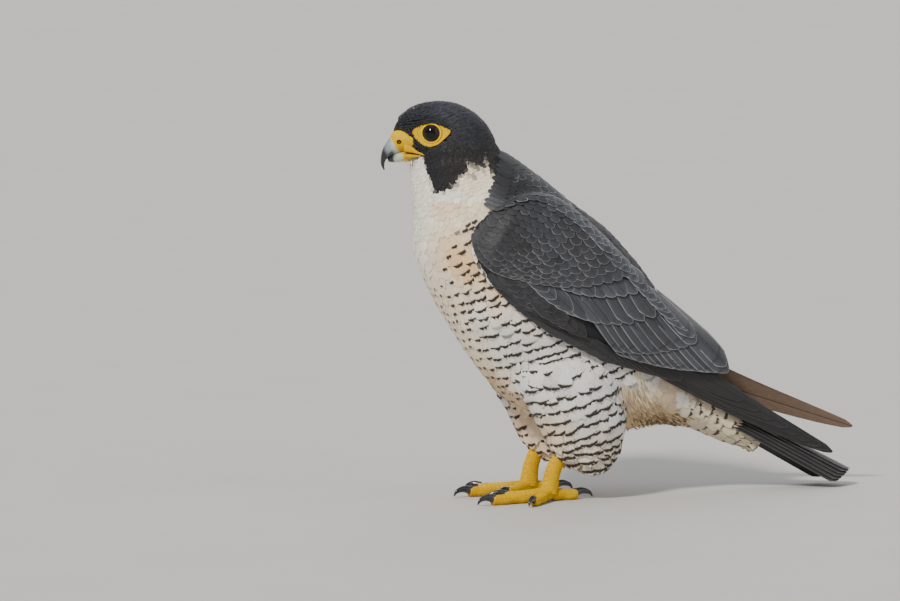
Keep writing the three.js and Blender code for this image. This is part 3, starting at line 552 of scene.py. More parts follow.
# Feather fields
# Roots in rows along a surface that t and angle describe: rows a step apart in mean length, each row's
# feathers evenly spaced round it and set off by half a space from the last row's.
def spreadRoots(surface, rowStep, acrossStep, fromT, toT, seed):
    jitter = 0.12
    rng = np.random.default_rng(seed)
    t = np.linspace(fromT, toT, 500)
    angle = np.linspace(0, 2 * pi, 90)
    grid = surface(*gridOf(t, angle))
    length = np.concatenate([[0], np.cumsum(np.linalg.norm(np.diff(grid, axis=0), axis=-1).mean(1))])
    found = {"t": [], "angle": []}
    for row, place in enumerate(np.arange(rowStep / 2, length[-1], rowStep)):
        rowT = np.interp(place, length, t)
        dense = np.linspace(0, 2 * pi, 361)
        ring = surface(np.full(361, rowT), dense)
        far = np.concatenate([[0], np.cumsum(np.linalg.norm(np.diff(ring, axis=0), axis=-1))])
        count = max(3, int(round(far[-1] / acrossStep)))
        spot = (
            np.arange(count) + 0.5 * (row % 2) + 0.25 + jitter * rng.normal(size=count)
        ) * far[-1] / count
        found["angle"].append(np.interp(spot % far[-1], far, dense))
        found["t"].append(np.interp(place + jitter * rowStep * rng.normal(size=count), length, t))
    found = {key: np.concatenate(value) for key, value in found.items()}
    found["t"] = np.clip(found["t"], fromT, toT)
    step = 1e-3
    t, angle = found["t"], found["angle"]
    before, after = np.maximum(t - step, 0), np.minimum(t + step, 1)
    found["place"] = surface(t, angle)
    found["down"] = (surface(after, angle) - surface(before, angle)) / (after - before)[:, None]
    return found


# Feathers laid over the coat's surface: root, middle and tip each go to the nearest place on it, plus any
# free hang.
def layOnCoat(roots, length, half, lie, free=0.0):
    lie = unit(lie)
    count = len(roots)
    length = np.broadcast_to(length, count)[:, None]
    half = np.broadcast_to(half, count)[:, None]
    free = np.broadcast_to(free, count)[:, None]
    p0, n0, gap = drape(roots)
    lie = unit(lie - n0 * np.einsum("ij,ij->i", lie, n0)[:, None])
    middle = p0 + lie * length / 2
    pm, nm, _ = drape(middle)
    lie2 = unit(pm - p0)
    tip = pm + unit(lie2 - nm * np.einsum("ij,ij->i", lie2, nm)[:, None]) * length / 2
    p1, n1, _ = drape(tip)
    pm = mix(pm, middle, free * 0.5)
    p1 = mix(p1, p0 + lie * length + n0 * 0.04 * length, free)
    n1 = unit(mix(n1, n0, free))
    side = unit(np.cross(nm, unit(p1 - p0)))
    left, _, _ = drape(pm + side * half)
    right, _, _ = drape(pm - side * half)
    sag = np.einsum("ij,ij->i", (left + right) / 2 - pm, nm) * (1 - free[:, 0])
    return {
        "p0": p0, "pm": pm, "p1": p1, "n0": n0, "n1": n1, "sag": sag, "length": length[:, 0],
        "half": half[:, 0], "gap": gap
    }


# Outline of a vane: how wide it is at each part of its length, and how far down each column of it ends.
def vaneGrid(plan, count, rng):
    rows, columns = plan["rows"], plan["columns"]
    # rows stand a little closer together towards the tip
    crowd = 0.85
    a = np.linspace(0, 1, rows) ** crowd
    c = np.linspace(-1, 1, columns) if "spread" not in plan else np.array(plan["spread"], float)
    notch = rng.random((count, len(c))) * plan.get("fray", 0)
    ends = 1 - plan.get("tipRound", 0.3) * np.abs(c) ** plan.get("tipPower", 2.2) - notch
    s = a[None, :, None] * ends[:, None, :]
    width = tableValue(plan["width"], s)
    return s, np.broadcast_to(c[None, None, :], s.shape) * width


# Closed thin vanes from their upper and lower grids (count, rows, columns, 3), which share their rim.
def vaneMesh(name, top, low, flip=False):
    count, rows, columns = top.shape[:3]
    i, j = gridOf(np.arange(rows), np.arange(columns))
    upper = i * columns + j
    rim = (i == 0) | (i == rows - 1) | (j == 0) | (j == columns - 1)
    under = np.where(rim, upper, rows * columns + (i - 1) * (columns - 2) + (j - 1))
    quad = lambda index: stacked(
        index[:-1, :-1], index[1:, :-1], index[1:, 1:], index[:-1, 1:]
    ).reshape(-1, 4)
    one = np.concatenate([quad(upper), quad(under)[:, ::-1]])
    perFeather = rows * columns + (rows - 2) * (columns - 2)
    faces = (one[None] + (np.arange(count) * perFeather)[:, None, None]).reshape(-1, 4)
    inner = low[:, 1:-1, 1:-1].reshape(count, -1, 3)
    points = np.concatenate([top.reshape(count, -1, 3), inner], axis=1)
    piece = makeMesh(name, points, [faces], flip=flip)
    rimOne = np.concatenate([rim.ravel(), np.zeros((rows - 2) * (columns - 2), bool)])
    markRim(piece, np.tile(rimOne, count))
    return piece


# The rim of each vane is a sharp edge, so its upper face keeps its own shading.
def markRim(piece, onRim):
    edges = np.empty(len(piece.data.edges) * 2, np.int32)
    piece.data.edges.foreach_get("vertices", edges)
    sharp = onRim[edges.reshape(-1, 2)].all(1)
    layer = piece.data.attributes.new("sharp_edge", "BOOLEAN", "EDGE")
    layer.data.foreach_set("value", sharp)


# Values on the upper grid repeated for the lower one's inner points.
def bothFaces(values):
    count = values.shape[0]
    inner = values[:, 1:-1, 1:-1].reshape(count, -1, values.shape[-1])
    return np.concatenate([values.reshape(count, -1, values.shape[-1]), inner], axis=1)


# Attributes of a field of vanes: millimetres across, from the tip and from the rim; colour; mark; and
# OFBake.
def dressVanes(piece, s, x, length, half, tone, mark, bakePlace):
    count, rows, columns = s.shape
    fromTip = (1 - s) * length[:, None, None]
    across = x * half[:, None, None]
    edge = np.minimum((1 - np.abs(np.linspace(-1, 1, columns)))[None, None, :] * half[:, None, None], 99)
    down = (1 - np.linspace(0, 1, rows))[None, :, None] * length[:, None, None]
    rim = np.minimum(np.broadcast_to(edge, s.shape), down)
    setVector(piece, "vane", bothFaces(stacked(across, fromTip, rim)))
    perPoint = lambda v: np.broadcast_to(v[:, None, None, :], s.shape + (v.shape[-1],))
    tones = tone if tone.ndim == 4 else perPoint(tone)
    setColour(piece, "tone", bothFaces(np.asarray(tones)))
    setColour(piece, "mark", bothFaces(perPoint(mark)))
    patch = stacked(x * 0.0014, (s - 0.5) * 0.003)
    setUv(piece, "OFBake", bothFaces(patch + bakePlace[:, None, None, :]))


# Body feathers: each vane runs on a curve through root, middle and tip, rises from the skin to the coat's
# surface, bends round the body by its sag and droops a little at its sides.
def coatVanes(name, laid, plan, tone, mark, bakePlace, seed=2):
    rng = np.random.default_rng(seed)
    count = len(laid["p0"])
    s, x = vaneGrid(plan, count, rng)
    s3 = s[..., None]
    p0, pm, p1 = (laid[k][:, None, None, :] for k in ("p0", "pm", "p1"))
    bend = 2 * pm - (p0 + p1) / 2
    centre = (1 - s3) ** 2 * p0 + 2 * s3 * (1 - s3) * bend + s3**2 * p1
    run = unit(2 * (1 - s3) * (bend - p0) + 2 * s3 * (p1 - bend))
    normal = unit((1 - s3) * laid["n0"][:, None, None, :] + s3 * laid["n1"][:, None, None, :])
    side = unit(np.cross(normal, run))
    turn = (rng.normal(size=count) * plan.get("stray", 0.06))[:, None, None, None]
    side3 = x[..., None] * laid["half"][:, None, None, None]
    rise = plan["root"] + (plan["tip"] - plan["root"]) * s ** plan.get("power", 0.9)
    rise = rise + (rng.normal(size=count) * plan.get("uneven", 0.12))[:, None, None] * s
    rise = rise + (rng.normal(size=count) * plan.get("tilt", 0.1))[:, None, None] * x
    rise = rise + laid["sag"][:, None, None] * x**2 - plan.get("droop", 0.2) * x**2
    centre = centre + side * side3 + side * turn * s3 * laid["length"][:, None, None, None]
    top = centre + normal * rise[..., None]
    thick = plan.get("thick", 0.14) * (1 - x**2) * (0.4 + 0.6 * (1 - s))
    low = top - normal * thick[..., None]
    piece = vaneMesh(name, top, low)
    dressVanes(piece, s, x, laid["length"], laid["half"], tone, mark, bakePlace)
    return piece


# Where feathers round a form stand in the OFBake map.
def ringBake(angle, t):
    return stacked(0.02 + 0.96 * (angle / (2 * pi)), 0.02 + 0.96 * t)


def keepOf(fields, keep):
    return {key: value[keep] for key, value in fields.items()}


# Shader helpers
def newTree(name, inputs, outputs):
    tree = bpy.data.node_groups.new(name, "ShaderNodeTree")
    for label, kind, value in inputs:
        socket = tree.interface.new_socket(name=label, in_out="INPUT", socket_type="NodeSocket" + kind)
        if value is not None:
            socket.default_value = value
    for label, kind in outputs:
        tree.interface.new_socket(name=label, in_out="OUTPUT", socket_type="NodeSocket" + kind)
    return tree, tree.nodes.new("NodeGroupInput").outputs, tree.nodes.new("NodeGroupOutput").inputs


def plug(tree, socket, value):
    if isinstance(value, bpy.types.NodeSocket):
        tree.links.new(value, socket)
    elif value is not None:
        socket.default_value = value


def calc(tree, operation, *values):
    node = tree.nodes.new("ShaderNodeMath")
    node.operation = operation
    for socket, value in zip(node.inputs, values):
        plug(tree, socket, value)
    return node.outputs[0]


# A smooth step from 0 at low to 1 at high; low may be the larger one.
def ramp(tree, value, low, high, toLow=0.0, toHigh=1.0):
    node = tree.nodes.new("ShaderNodeMapRange")
    node.interpolation_type = "SMOOTHSTEP"
    for socket, given in zip(node.inputs[:5], (value, low, high, toLow, toHigh)):
        plug(tree, socket, given)
    return node.outputs[0]


def mixHue(tree, amount, first, second, kind="MIX"):
    node = tree.nodes.new("ShaderNodeMix")
    node.data_type = "RGBA"
    node.blend_type = kind
    plug(tree, node.inputs[0], amount)
    for socket, value in ((node.inputs[6], first), (node.inputs[7], second)):
        plug(tree, socket, (*value, 1) if isinstance(value, tuple) and len(value) == 3 else value)
    return node.outputs[2]


def noiseOf(tree, vector, scale, detail=2.0, rough=0.5):
    node = tree.nodes.new("ShaderNodeTexNoise")
    plug(tree, node.inputs["Vector"], vector)
    node.inputs["Scale"].default_value = scale
    node.inputs["Detail"].default_value = detail
    node.inputs["Roughness"].default_value = rough
    return node.outputs[0]


def joinXyz(tree, x, y, z):
    node = tree.nodes.new("ShaderNodeCombineXYZ")
    for socket, value in zip(node.inputs, (x, y, z)):
        plug(tree, socket, value)
    return node.outputs[0]


def splitXyz(tree, vector):
    node = tree.nodes.new("ShaderNodeSeparateXYZ")
    plug(tree, node.inputs[0], vector)
    return node.outputs


# Feather: barbs slanting from the shaft, a dark bar or chevron across the vane, a pale fringe and a shaft
# line.
def featherGroup():
    tree, given, made = newTree(
        "feather",
        [
            ("Tone", "Color", (0.5, 0.5, 0.5, 1)), ("Mark", "Color", (0, 0, 0, 1)),
            ("Chance", "Float", 0.5),
            ("Vane", "Vector", None), ("Mark colour", "Color", (0.02, 0.02, 0.02, 1)),
            ("Bar thickness", "Float", 0.9),
            ("Bar curve", "Float", 0.3), ("Fringe colour", "Color", (0.4, 0.4, 0.4, 1)),
            ("Fringe width", "Float", 0.8),
            ("Fringe strength", "Float", 0.0), ("Fringe amount", "Float", 1.0),
            ("Shaft colour", "Color", (0.02, 0.02, 0.02, 1)),
            ("Shaft strength", "Float", 0.0), ("Barb contrast", "Float", 0.3), ("Dark heart", "Float", 0.0),
        ],
        [("Colour", "Color"), ("Height", "Float")],
    )
    times = lambda *values: calc(tree, "MULTIPLY", *values)
    minus = lambda *values: calc(tree, "SUBTRACT", *values)
    timesPlus = lambda *values: calc(tree, "MULTIPLY_ADD", *values)
    size = lambda value: calc(tree, "ABSOLUTE", value)
    across, fromTip, rim = splitXyz(tree, given["Vane"])
    half, place, strength = splitXyz(tree, given["Mark"])
    absX = size(across)
    slant = timesPlus(absX, -0.75, fromTip)
    seed = times(given["Chance"], 57.0)
    barbs = noiseOf(tree, joinXyz(tree, times(across, 0.22), times(slant, 2.6), seed), 1.0, 2.0, 0.6)
    clumps = noiseOf(tree, joinXyz(tree, times(across, 0.5), times(fromTip, 0.16), seed), 1.0, 1.0, 0.5)
    spread = times(minus(barbs, 0.5), given["Barb contrast"])
    spread = timesPlus(minus(clumps, 0.5), times(given["Barb contrast"], 0.8), spread)
    light = calc(tree, "ADD", spread, 1.0)
    lightHue = tree.nodes.new("ShaderNodeCombineColor")
    for socket in lightHue.inputs[:3]:
        tree.links.new(light, socket)
    colour = mixHue(tree, 1.0, given["Tone"], lightHue.outputs[0], "MULTIPLY")
    heart = times(ramp(tree, rim, 1.0, 4.5), given["Dark heart"])
    colour = mixHue(tree, heart, colour, given["Shaft colour"])
    line = times(ramp(tree, absX, 0.42, 0.16), given["Shaft strength"])
    colour = mixHue(tree, line, colour, given["Shaft colour"])
    fringe = times(
        ramp(tree, rim, times(given["Fringe width"], 1.25), times(given["Fringe width"], 0.6)),
        given["Fringe strength"]
    )
    fringe = times(fringe, ramp(tree, clumps, 0.25, 0.6, 0.55, 1.0))
    fringe = times(fringe, given["Fringe amount"])
    colour = mixHue(tree, fringe, colour, given["Fringe colour"])
    halfMm = times(half, 10.0)
    placeMm = times(place, 10.0)
    middle = timesPlus(absX, given["Bar curve"], placeMm)
    middle = timesPlus(minus(clumps, 0.5), 1.2, middle)
    away = size(minus(fromTip, middle))
    away = timesPlus(minus(barbs, 0.5), 1.5, away)
    inX = ramp(tree, minus(absX, halfMm), 0.6, -0.6)
    outFar = calc(tree, "DIVIDE", absX, calc(tree, "ADD", halfMm, 0.5))
    swell = timesPlus(times(outFar, outFar), -0.5, 1.0)
    thick = times(given["Bar thickness"], swell)
    bar = times(ramp(tree, minus(away, thick), 0.6, -0.6), inX)
    tick = times(ramp(tree, absX, 0.55, 0.2), ramp(tree, size(minus(fromTip, placeMm)), 3.4, 2.4))
    tick = times(tick, ramp(tree, given["Chance"], 0.45, 0.7, 0.0, 0.8))
    tick = times(tick, ramp(tree, halfMm, 2.5, 4.0))
    bar = times(calc(tree, "MAXIMUM", bar, tick), strength)
    colour = mixHue(tree, bar, colour, given["Mark colour"])
    tree.links.new(colour, made["Colour"])
    tree.links.new(timesPlus(clumps, 0.6, barbs), made["Height"])
    return tree


feather = featherGroup()


def attributeOf(tree, name):
    node = tree.nodes.new("ShaderNodeAttribute")
    node.attribute_name = name
    return node


def newMaterial(name, settings):
    material = bpy.data.materials.new(name)
    material.use_nodes = True
    shader = material.node_tree.nodes["Principled BSDF"]
    for label, value in settings.items():
        shader.inputs[label].default_value = value
    return material, material.node_tree, shader


def bumpInto(tree, shader, height, strength, distance):
    node = tree.nodes.new("ShaderNodeBump")
    node.inputs["Strength"].default_value = strength
    node.inputs["Distance"].default_value = distance
    tree.links.new(height, node.inputs["Height"])
    tree.links.new(node.outputs[0], shader.inputs["Normal"])


def featherMaterial(name, look):
    material, tree, shader = newMaterial(
        name,
        {
            "Roughness": look["roughness"], "Specular IOR Level": look["specular"],
            "Sheen Weight": look["sheen"], "Sheen Roughness": 0.5
        },
    )
    group = tree.nodes.new("ShaderNodeGroup")
    group.node_tree = feather
    tone, mark, vane = (attributeOf(tree, n) for n in ("tone", "mark", "vane"))
    tree.links.new(tone.outputs["Color"], group.inputs["Tone"])
    tree.links.new(tone.outputs["Alpha"], group.inputs["Fringe amount"])
    tree.links.new(mark.outputs["Color"], group.inputs["Mark"])
    tree.links.new(mark.outputs["Alpha"], group.inputs["Chance"])
    tree.links.new(vane.outputs["Vector"], group.inputs["Vane"])
    for label, value in look["group"].items():
        group.inputs[label].default_value = (*value, 1) if isinstance(value, tuple) else value
    tree.links.new(group.outputs["Colour"], shader.inputs["Base Color"])
    bumpInto(tree, shader, group.outputs["Height"], look["bump"], 0.0004)
    return material


downy = featherMaterial("downyFeathers", {
    "roughness": 0.8, "specular": 0.1, "sheen": 0.1, "bump": 0.6,
    "group": {
        "Mark colour": (0.044, 0.036, 0.030), "Bar thickness": 1.45, "Bar curve": 0.22,
        "Barb contrast": 0.42, "Shaft strength": 0.0
    },
})
tuftLook = featherMaterial("tuftFeathers", {
    "roughness": 0.75, "specular": 0.12, "sheen": 0.15, "bump": 0.6,
    "group": {
        "Mark colour": (0.085, 0.050, 0.024), "Bar thickness": 4.5, "Barb contrast": 0.7,
        "Shaft colour": (0.25, 0.17, 0.09), "Shaft strength": 0.3
    },
})
velvet = featherMaterial("velvetFeathers", {
    "roughness": 0.6, "specular": 0.22, "sheen": 0.12, "bump": 0.5,
    "group": {"Mark colour": hue["ink"], "Barb contrast": 0.75, "Bar thickness": 0.5},
})
mantleLook = featherMaterial("mantleFeathers", {
    "roughness": 0.55, "specular": 0.25, "sheen": 0.05, "bump": 0.35,
    "group": {
        "Fringe colour": (0.17, 0.18, 0.20), "Fringe width": 0.6, "Fringe strength": 0.5,
        "Shaft colour": (0.012, 0.012, 0.014),
        "Shaft strength": 0.4, "Barb contrast": 0.5, "Dark heart": 0.35,
    },
})
covertLook = featherMaterial("covertFeathers", {
    "roughness": 0.5, "specular": 0.35, "sheen": 0.1, "bump": 0.35,
    "group": {
        "Fringe colour": (0.30, 0.31, 0.32), "Fringe width": 0.55, "Fringe strength": 0.9,
        "Shaft colour": (0.012, 0.011, 0.012),
        "Shaft strength": 0.7, "Barb contrast": 0.6, "Dark heart": 0.35,
        "Mark colour": (0.014, 0.013, 0.015), "Bar thickness": 1.5,
    },
})
flightLook = featherMaterial("flightFeathers", {
    "roughness": 0.45, "specular": 0.4, "sheen": 0.05, "bump": 0.3,
    "group": {
        "Fringe colour": (0.15, 0.145, 0.14), "Fringe width": 0.4, "Fringe strength": 0.5,
        "Shaft colour": (0.006, 0.006, 0.006),
        "Shaft strength": 0.8, "Barb contrast": 0.45, "Mark colour": (0.010, 0.010, 0.012),
    },
})
print("feather materials ready")


# Body plumage
# Tracts from the neck to the tail: stations, row step, space in a row, and feather length and half width at
# both ends.
bodyPlan = {
    "tracts": {
        "Neck": {
            "from": 0.2, "to": 2.3, "step": 2.5, "across": 2.8, "length": (7.5, 10), "half": (2.1, 2.9),
            "soft": 1.2
        },
        "Breast": {
            "from": 2.3, "to": 3.5, "step": 4.4, "across": 5.2, "length": (11.5, 15), "half": (3.9, 4.8),
            "soft": 1.3
        },
        "Flanks": {
            "from": 3.5, "to": 11.4, "step": 8.2, "across": 9.0, "length": (20, 21), "half": (6.8, 7.2),
            "soft": 1.2
        },
        "UnderTail": {
            "from": 11.2, "to": 14.9, "step": 8.2, "across": 10.5, "length": (22, 24), "half": (7.0, 6.4),
            "soft": 1.5
        },
    },
    "lean": 0.035,
    "vane": {
        "rows": 8, "columns": 11, "width": [[0, 0.35], [0.35, 0.85], [0.7, 1], [1, 0.86]], "fray": 0.15,
        "tipRound": 0.26,
        "root": -1.7, "tip": 0.12, "power": 0.5, "thick": 0.09, "uneven": 0.10, "tilt": 0.06, "droop": 0.3,
        "stray": 0.05,
    },
}
mantleVane = {
    "rows": 7, "columns": 9, "width": [[0, 0.4], [0.35, 0.85], [0.65, 1], [1, 0.82]], "fray": 0.02,
    "tipRound": 0.28, "tipPower": 2.3, "root": -1.8, "tip": 0.2, "power": 0.55, "thick": 0.2,
    "uneven": 0.08, "tilt": 0.05, "droop": 0.45, "stray": 0.04
}


# True where a place lies well under a wing, so no feather is needed there.
def underWing(p, margin=9.0):
    ox, oz = wingShape["origin"]
    c, s = np.cos(wingShape["slope"]), np.sin(wingShape["slope"])
    dx, dz = p[:, 0] - ox, p[:, 2] - oz
    a, b = dx * c - dz * s, dx * s + dz * c
    low = tableValue(wingShape["lower"], a) + margin
    high = tableValue(wingShape["upper"], a) - margin
    return (a > 6 + margin) & (a < 185) & (b > low) & (b < high)


# True inside the head's form drawn in by a share of its size; a negative share makes it larger.
def insideHead(p, inset):
    local = toHead(p)
    stations = np.array(headShape["stations"], float)
    x = local[:, 0]
    top, bottom, half, widest = np.moveaxis(tableValue(stations, x), -1, 0)
    z = local[:, 2]
    reach = np.where(z > widest, (z - widest) / (top - widest), (widest - z) / (widest - bottom))
    return (
        (x > stations[0, 0]) & (x < stations[-1, 0] - 2)
        & (reach**2 + (local[:, 1] / half) ** 2 < (1 - inset) ** 2)
    )


def insideThigh(p, inset):
    rows = np.array(thighShape["stations"], float)[::-1]
    z = p[:, 2]
    x, longHalf, wideHalf, y = np.moveaxis(tableValue(rows, z), -1, 0)
    reach = ((p[:, 0] - x) / longHalf) ** 2 + ((np.abs(p[:, 1]) - y) / wideHalf) ** 2
    return (z > rows[0, 0]) & (z < rows[-1, 0]) & (reach < (1 - inset) ** 2)


# The body with its rings leaning: their backs lie farther down it and their fronts farther up.
def leanT(t, angle):
    return np.clip(t + bodyPlan["lean"] * np.cos(angle) * np.sin(pi * t), 0, 1)


def leanBody(t, angle):
    return bodyPoint(leanT(t, angle), angle)


def makeBodyPlumage(tractName):
    plan, tract = bodyPlan, bodyPlan["tracts"][tractName]
    rng = np.random.default_rng(11)
    count = len(bodyShape["stations"]) - 1
    field = spreadRoots(
        leanBody, tract["step"], tract["across"], tract["from"] / count, tract["to"] / count, seed=3
    )
    place = field["place"]
    keep = (
        ~underWing(place) & ~insideHead(place, 0.16)
        & ~(insideThigh(place, 0.1) & (place[:, 2] < thighPlan["top"]))
    )
    field = keepOf(field, keep)
    own = leanT(field["t"], field["angle"])
    part = np.clip((own * count - tract["from"]) / (tract["to"] - tract["from"]), 0, 1)
    station = own * count
    flank = (ease(4.5, 7.5, station) * ease(11.2, 10, station) * ease(14, 30, np.abs(field["place"][:, 1])))
    lie = unit(field["down"]) + np.array([-0.1, 0.0, -1.0]) * flank[:, None]
    laid = layOnCoat(field["place"], mix(*tract["length"], part), mix(*tract["half"], part), lie)
    tone, back = bodyHue(laid["pm"], own, field["angle"])
    nearHead = insideHead(laid["pm"], -0.35) & (toHead(laid["pm"])[:, 2] > -45)
    tone[nearHead] = headHue(laid["pm"][nearHead])
    mark = bodyMark(laid["pm"], own, back, rng)
    tone = tone * (1 + 0.05 * rng.normal(size=(len(tone), 1)))
    bake = ringBake(field["angle"], own)
    shown = laid["gap"] < 10
    mantle = shown & (back > 0.5) & (own * count > 1.6)
    vane = dict(plan["vane"], fray=plan["vane"]["fray"] * tract["soft"])
    for label, chosen, form, look in (
        ("Plumage", shown & ~mantle, vane, downy), ("Mantle", mantle, mantleVane, mantleLook)
    ):
        form = dict(form, columns=7, rows=6) if tract["step"] < 4 else form
        name = "body" + tractName + label
        piece = coatVanes(
            name, keepOf(laid, chosen), form, tone[chosen], mark[chosen], bake[chosen], seed=5
        )
        finishPiece(piece, look)
        print(name + ",", int(chosen.sum()), "feathers,", len(piece.data.polygons) * 2, "triangles")


# Head plumage
headPlan = {
    "step": 1.75, "across": 1.85, "length": 5.2, "half": 1.35,
    "vane": {
        "rows": 5, "columns": 5, "width": [[0, 0.4], [0.5, 1], [1, 0.7]], "fray": 0.16, "tipRound": 0.4,
        "root": -1.5, "tip": 0.08, "power": 0.5, "thick": 0.08, "uneven": 0.07, "tilt": 0.05, "droop": 0.12,
        "stray": 0.1,
    },
}
# Bare yellow skin round the eye: how far it reaches at each angle from the rear, upwards positive.
eyeSkin = {
    "reach": [
        [-180, 14.6], [-171, 14.1], [-158, 12.7], [-137, 11.3], [-116, 10.5], [-97, 9.5], [-67, 8.5],
        [-31, 8.8], [-10, 10.8], [8, 13.0], [17, 11.0], [33, 9.0], [62, 7.2], [100, 6.9], [141, 8.9],
        [161, 11.7], [172, 14.0], [180, 14.6]
    ]
}


def inEyeSkin(local, grow):
    dx, dz = local[..., 0] - bird["eyePlace"][0], local[..., 2] - bird["eyePlace"][2]
    return np.hypot(dx, dz) < grow * tableValue(eyeSkin["reach"], np.degrees(np.arctan2(dz, dx)))


# In front of this line the head is covered by the bill's yellow base; the line is height against x.
billRoot = [
    [-20, -44], [-17, -42], [-15, -37], [-13, -30], [-12, -27], [-10.5, -27], [-7, -31], [-2.7, -32.6],
    [3.7, -34.6], [8.8, -42], [12, -44.5], [20, -46]
]


def makeHeadPlumage():
    plan = headPlan
    rng = np.random.default_rng(12)
    field = spreadRoots(headPoint, plan["step"], plan["across"], 0.03, 0.97, seed=4)
    local = toHead(field["place"])
    bare = inEyeSkin(local, 1.0) | (local[:, 0] < tableValue(billRoot, local[:, 2]) + 0.4)
    field = keepOf(field, ~bare)
    small = ease(-30, -12, toHead(field["place"])[:, 0])
    length, half = plan["length"] * mix(0.62, 1.0, small), plan["half"] * mix(0.65, 1.0, small)
    laid = layOnCoat(field["place"], length, half, field["down"])
    local = toHead(laid["p1"])
    near = inEyeSkin(local, 0.97) | inEyeSkin(toHead(laid["pm"]), 0.97)
    keep = (laid["gap"] < 3.5) & ~near
    laid, field = keepOf(laid, keep), keepOf(field, keep)
    tone = headHue(mix(laid["pm"], laid["p1"], 0.5))
    tone = tone * np.clip(1 + 0.22 * rng.normal(size=(len(tone), 1)) * (1 - 0.8 * tone[:, :1]), 0.4, 1.8)
    mark = markOf(0.03, 0.1, 0, len(tone), rng)
    bake = ringBake(field["angle"], field["t"])
    piece = coatVanes("headPlumage", laid, plan["vane"], tone, mark, bake, seed=6)
    print("head plumage,", len(tone), "feathers")
    return finishPiece(piece, velvet)


# Thigh plumage
thighPlan = {
    "step": 8.6, "across": 9.0, "length": 22.0, "half": 7.6, "top": 102, "lean": 0.08,
    "vane": {
        "rows": 9, "columns": 13, "width": [[0, 0.4], [0.4, 0.9], [0.7, 1], [1, 0.9]], "fray": 0.17,
        "tipRound": 0.2, "root": -1.8, "tip": 0.2, "power": 0.5, "thick": 0.1, "uneven": 0.2, "tilt": 0.1,
        "droop": 0.3, "stray": 0.05
    }
}


def thighHue(p):
    z = p[:, 2]
    ragged = wobble(p, 6)
    inner = ease(32, 20, np.abs(p[:, 1]) + 3 * ragged)
    front = ease(4, -14, p[:, 0] - 0.15 * (100 - z))
    colour = tint(hue["flankGrey"], hue["peach"], 0.6 * np.maximum(front * ease(80, 55, z), 0.6 * inner))
    colour = tint(colour, hue["cream"], 0.55 * ease(66, 40, z))
    colour = tint(colour, hue["white"], 0.4 * ease(-0.1, 0.7, wobble(p, 9, 2)))
    return colour


# Its rows lean: they lie higher behind than in front.
def leanThigh(t, angle, side):
    return thighPoint(np.clip(t - thighPlan["lean"] * np.cos(angle), 0, 1), angle, side)


def makeThighPlumage(sideName):
    plan = thighPlan
    side = -1 if sideName == "left" else 1
    rng = np.random.default_rng(13)
    surface = lambda t, angle: leanThigh(t, angle, side)
    field = spreadRoots(surface, plan["step"], plan["across"], 0.0, 0.97, seed=7 + side)
    place = field["place"]
    keep = (
        ~underWing(place, 4) & (np.abs(place[:, 1]) > 4) & (place[:, 2] < plan["top"] + 4)
        & (place[:, 2] > 35)
    )
    field = keepOf(field, keep)
    low = ease(66, 44, field["place"][:, 2])
    lie = unit(field["down"]) + np.array([0.10, 0.0, -0.9]) * low[:, None]
    laid = layOnCoat(
        field["place"], plan["length"] * mix(1, 0.86, low), plan["half"] * mix(1, 0.8, low), lie,
        free=0.8 * low
    )
    keep = laid["gap"] < 6
    laid, field, low = keepOf(laid, keep), keepOf(field, keep), low[keep]
    tone = thighHue(laid["pm"]) * (1 + 0.05 * rng.normal(size=(len(low), 1)))
    count = len(low)
    outer = ease(14, 30, np.abs(laid["pm"][:, 1]))
    half = mix(0.22, 0.85, outer) * mix(1, 0.9, low)
    strength = np.where(rng.random(count) < mix(0.7, 0.98, outer), 1.0, 0.15)
    mark = markOf(half, 0.32, strength, count, rng)
    bake = ringBake(field["angle"], field["t"])
    piece = coatVanes("thighPlumage" + sideName.title(), laid, plan["vane"], tone, mark, bake, seed=8)
    print("thigh plumage", sideName + ",", count, "feathers,", len(piece.data.polygons) * 2, "triangles")
    return finishPiece(piece, downy)


# Tufts: hair-like feathers that hang behind the thighs and from their lower rims.
tuftPlan = {
    "vent": {
        "count": 1500, "stations": (9.5, 12.4), "arc": (15, 108), "length": (19, 27), "half": 0.62,
        "free": 0.26, "lie": (0.34, 0.0, -1.0)
    },
    "thigh": {
        "count": 420, "shares": (0.78, 0.95), "length": (11, 15), "half": 0.55, "free": 0.3,
        "lie": (0.14, 0.0, -1.0)
    },
    "vane": {
        "rows": 7, "columns": 3, "width": [[0, 0.6], [0.4, 1], [0.75, 0.8], [1, 0.3]], "fray": 0.0,
        "tipRound": 0.0,
        "root": -1.4, "tip": 0.4, "power": 0.8, "thick": 0.12, "uneven": 0.7, "tilt": 0.1, "droop": 0.1,
        "stray": 0.13,
    },
}


def makeTuft(name, laid, tone, tips, bake, seed):
    rng = np.random.default_rng(seed)
    count = len(tone)
    tone = tone * (1 + 0.12 * rng.normal(size=(count, 1)))
    mark = markOf(0.5, 0, tips * (rng.random(count) < 0.8), count, rng)
    piece = coatVanes(name, laid, tuftPlan["vane"], tone, mark, bake, seed=seed)
    print(name + ",", count, "feathers,", len(piece.data.polygons) * 2, "triangles")
    return finishPiece(piece, tuftLook)


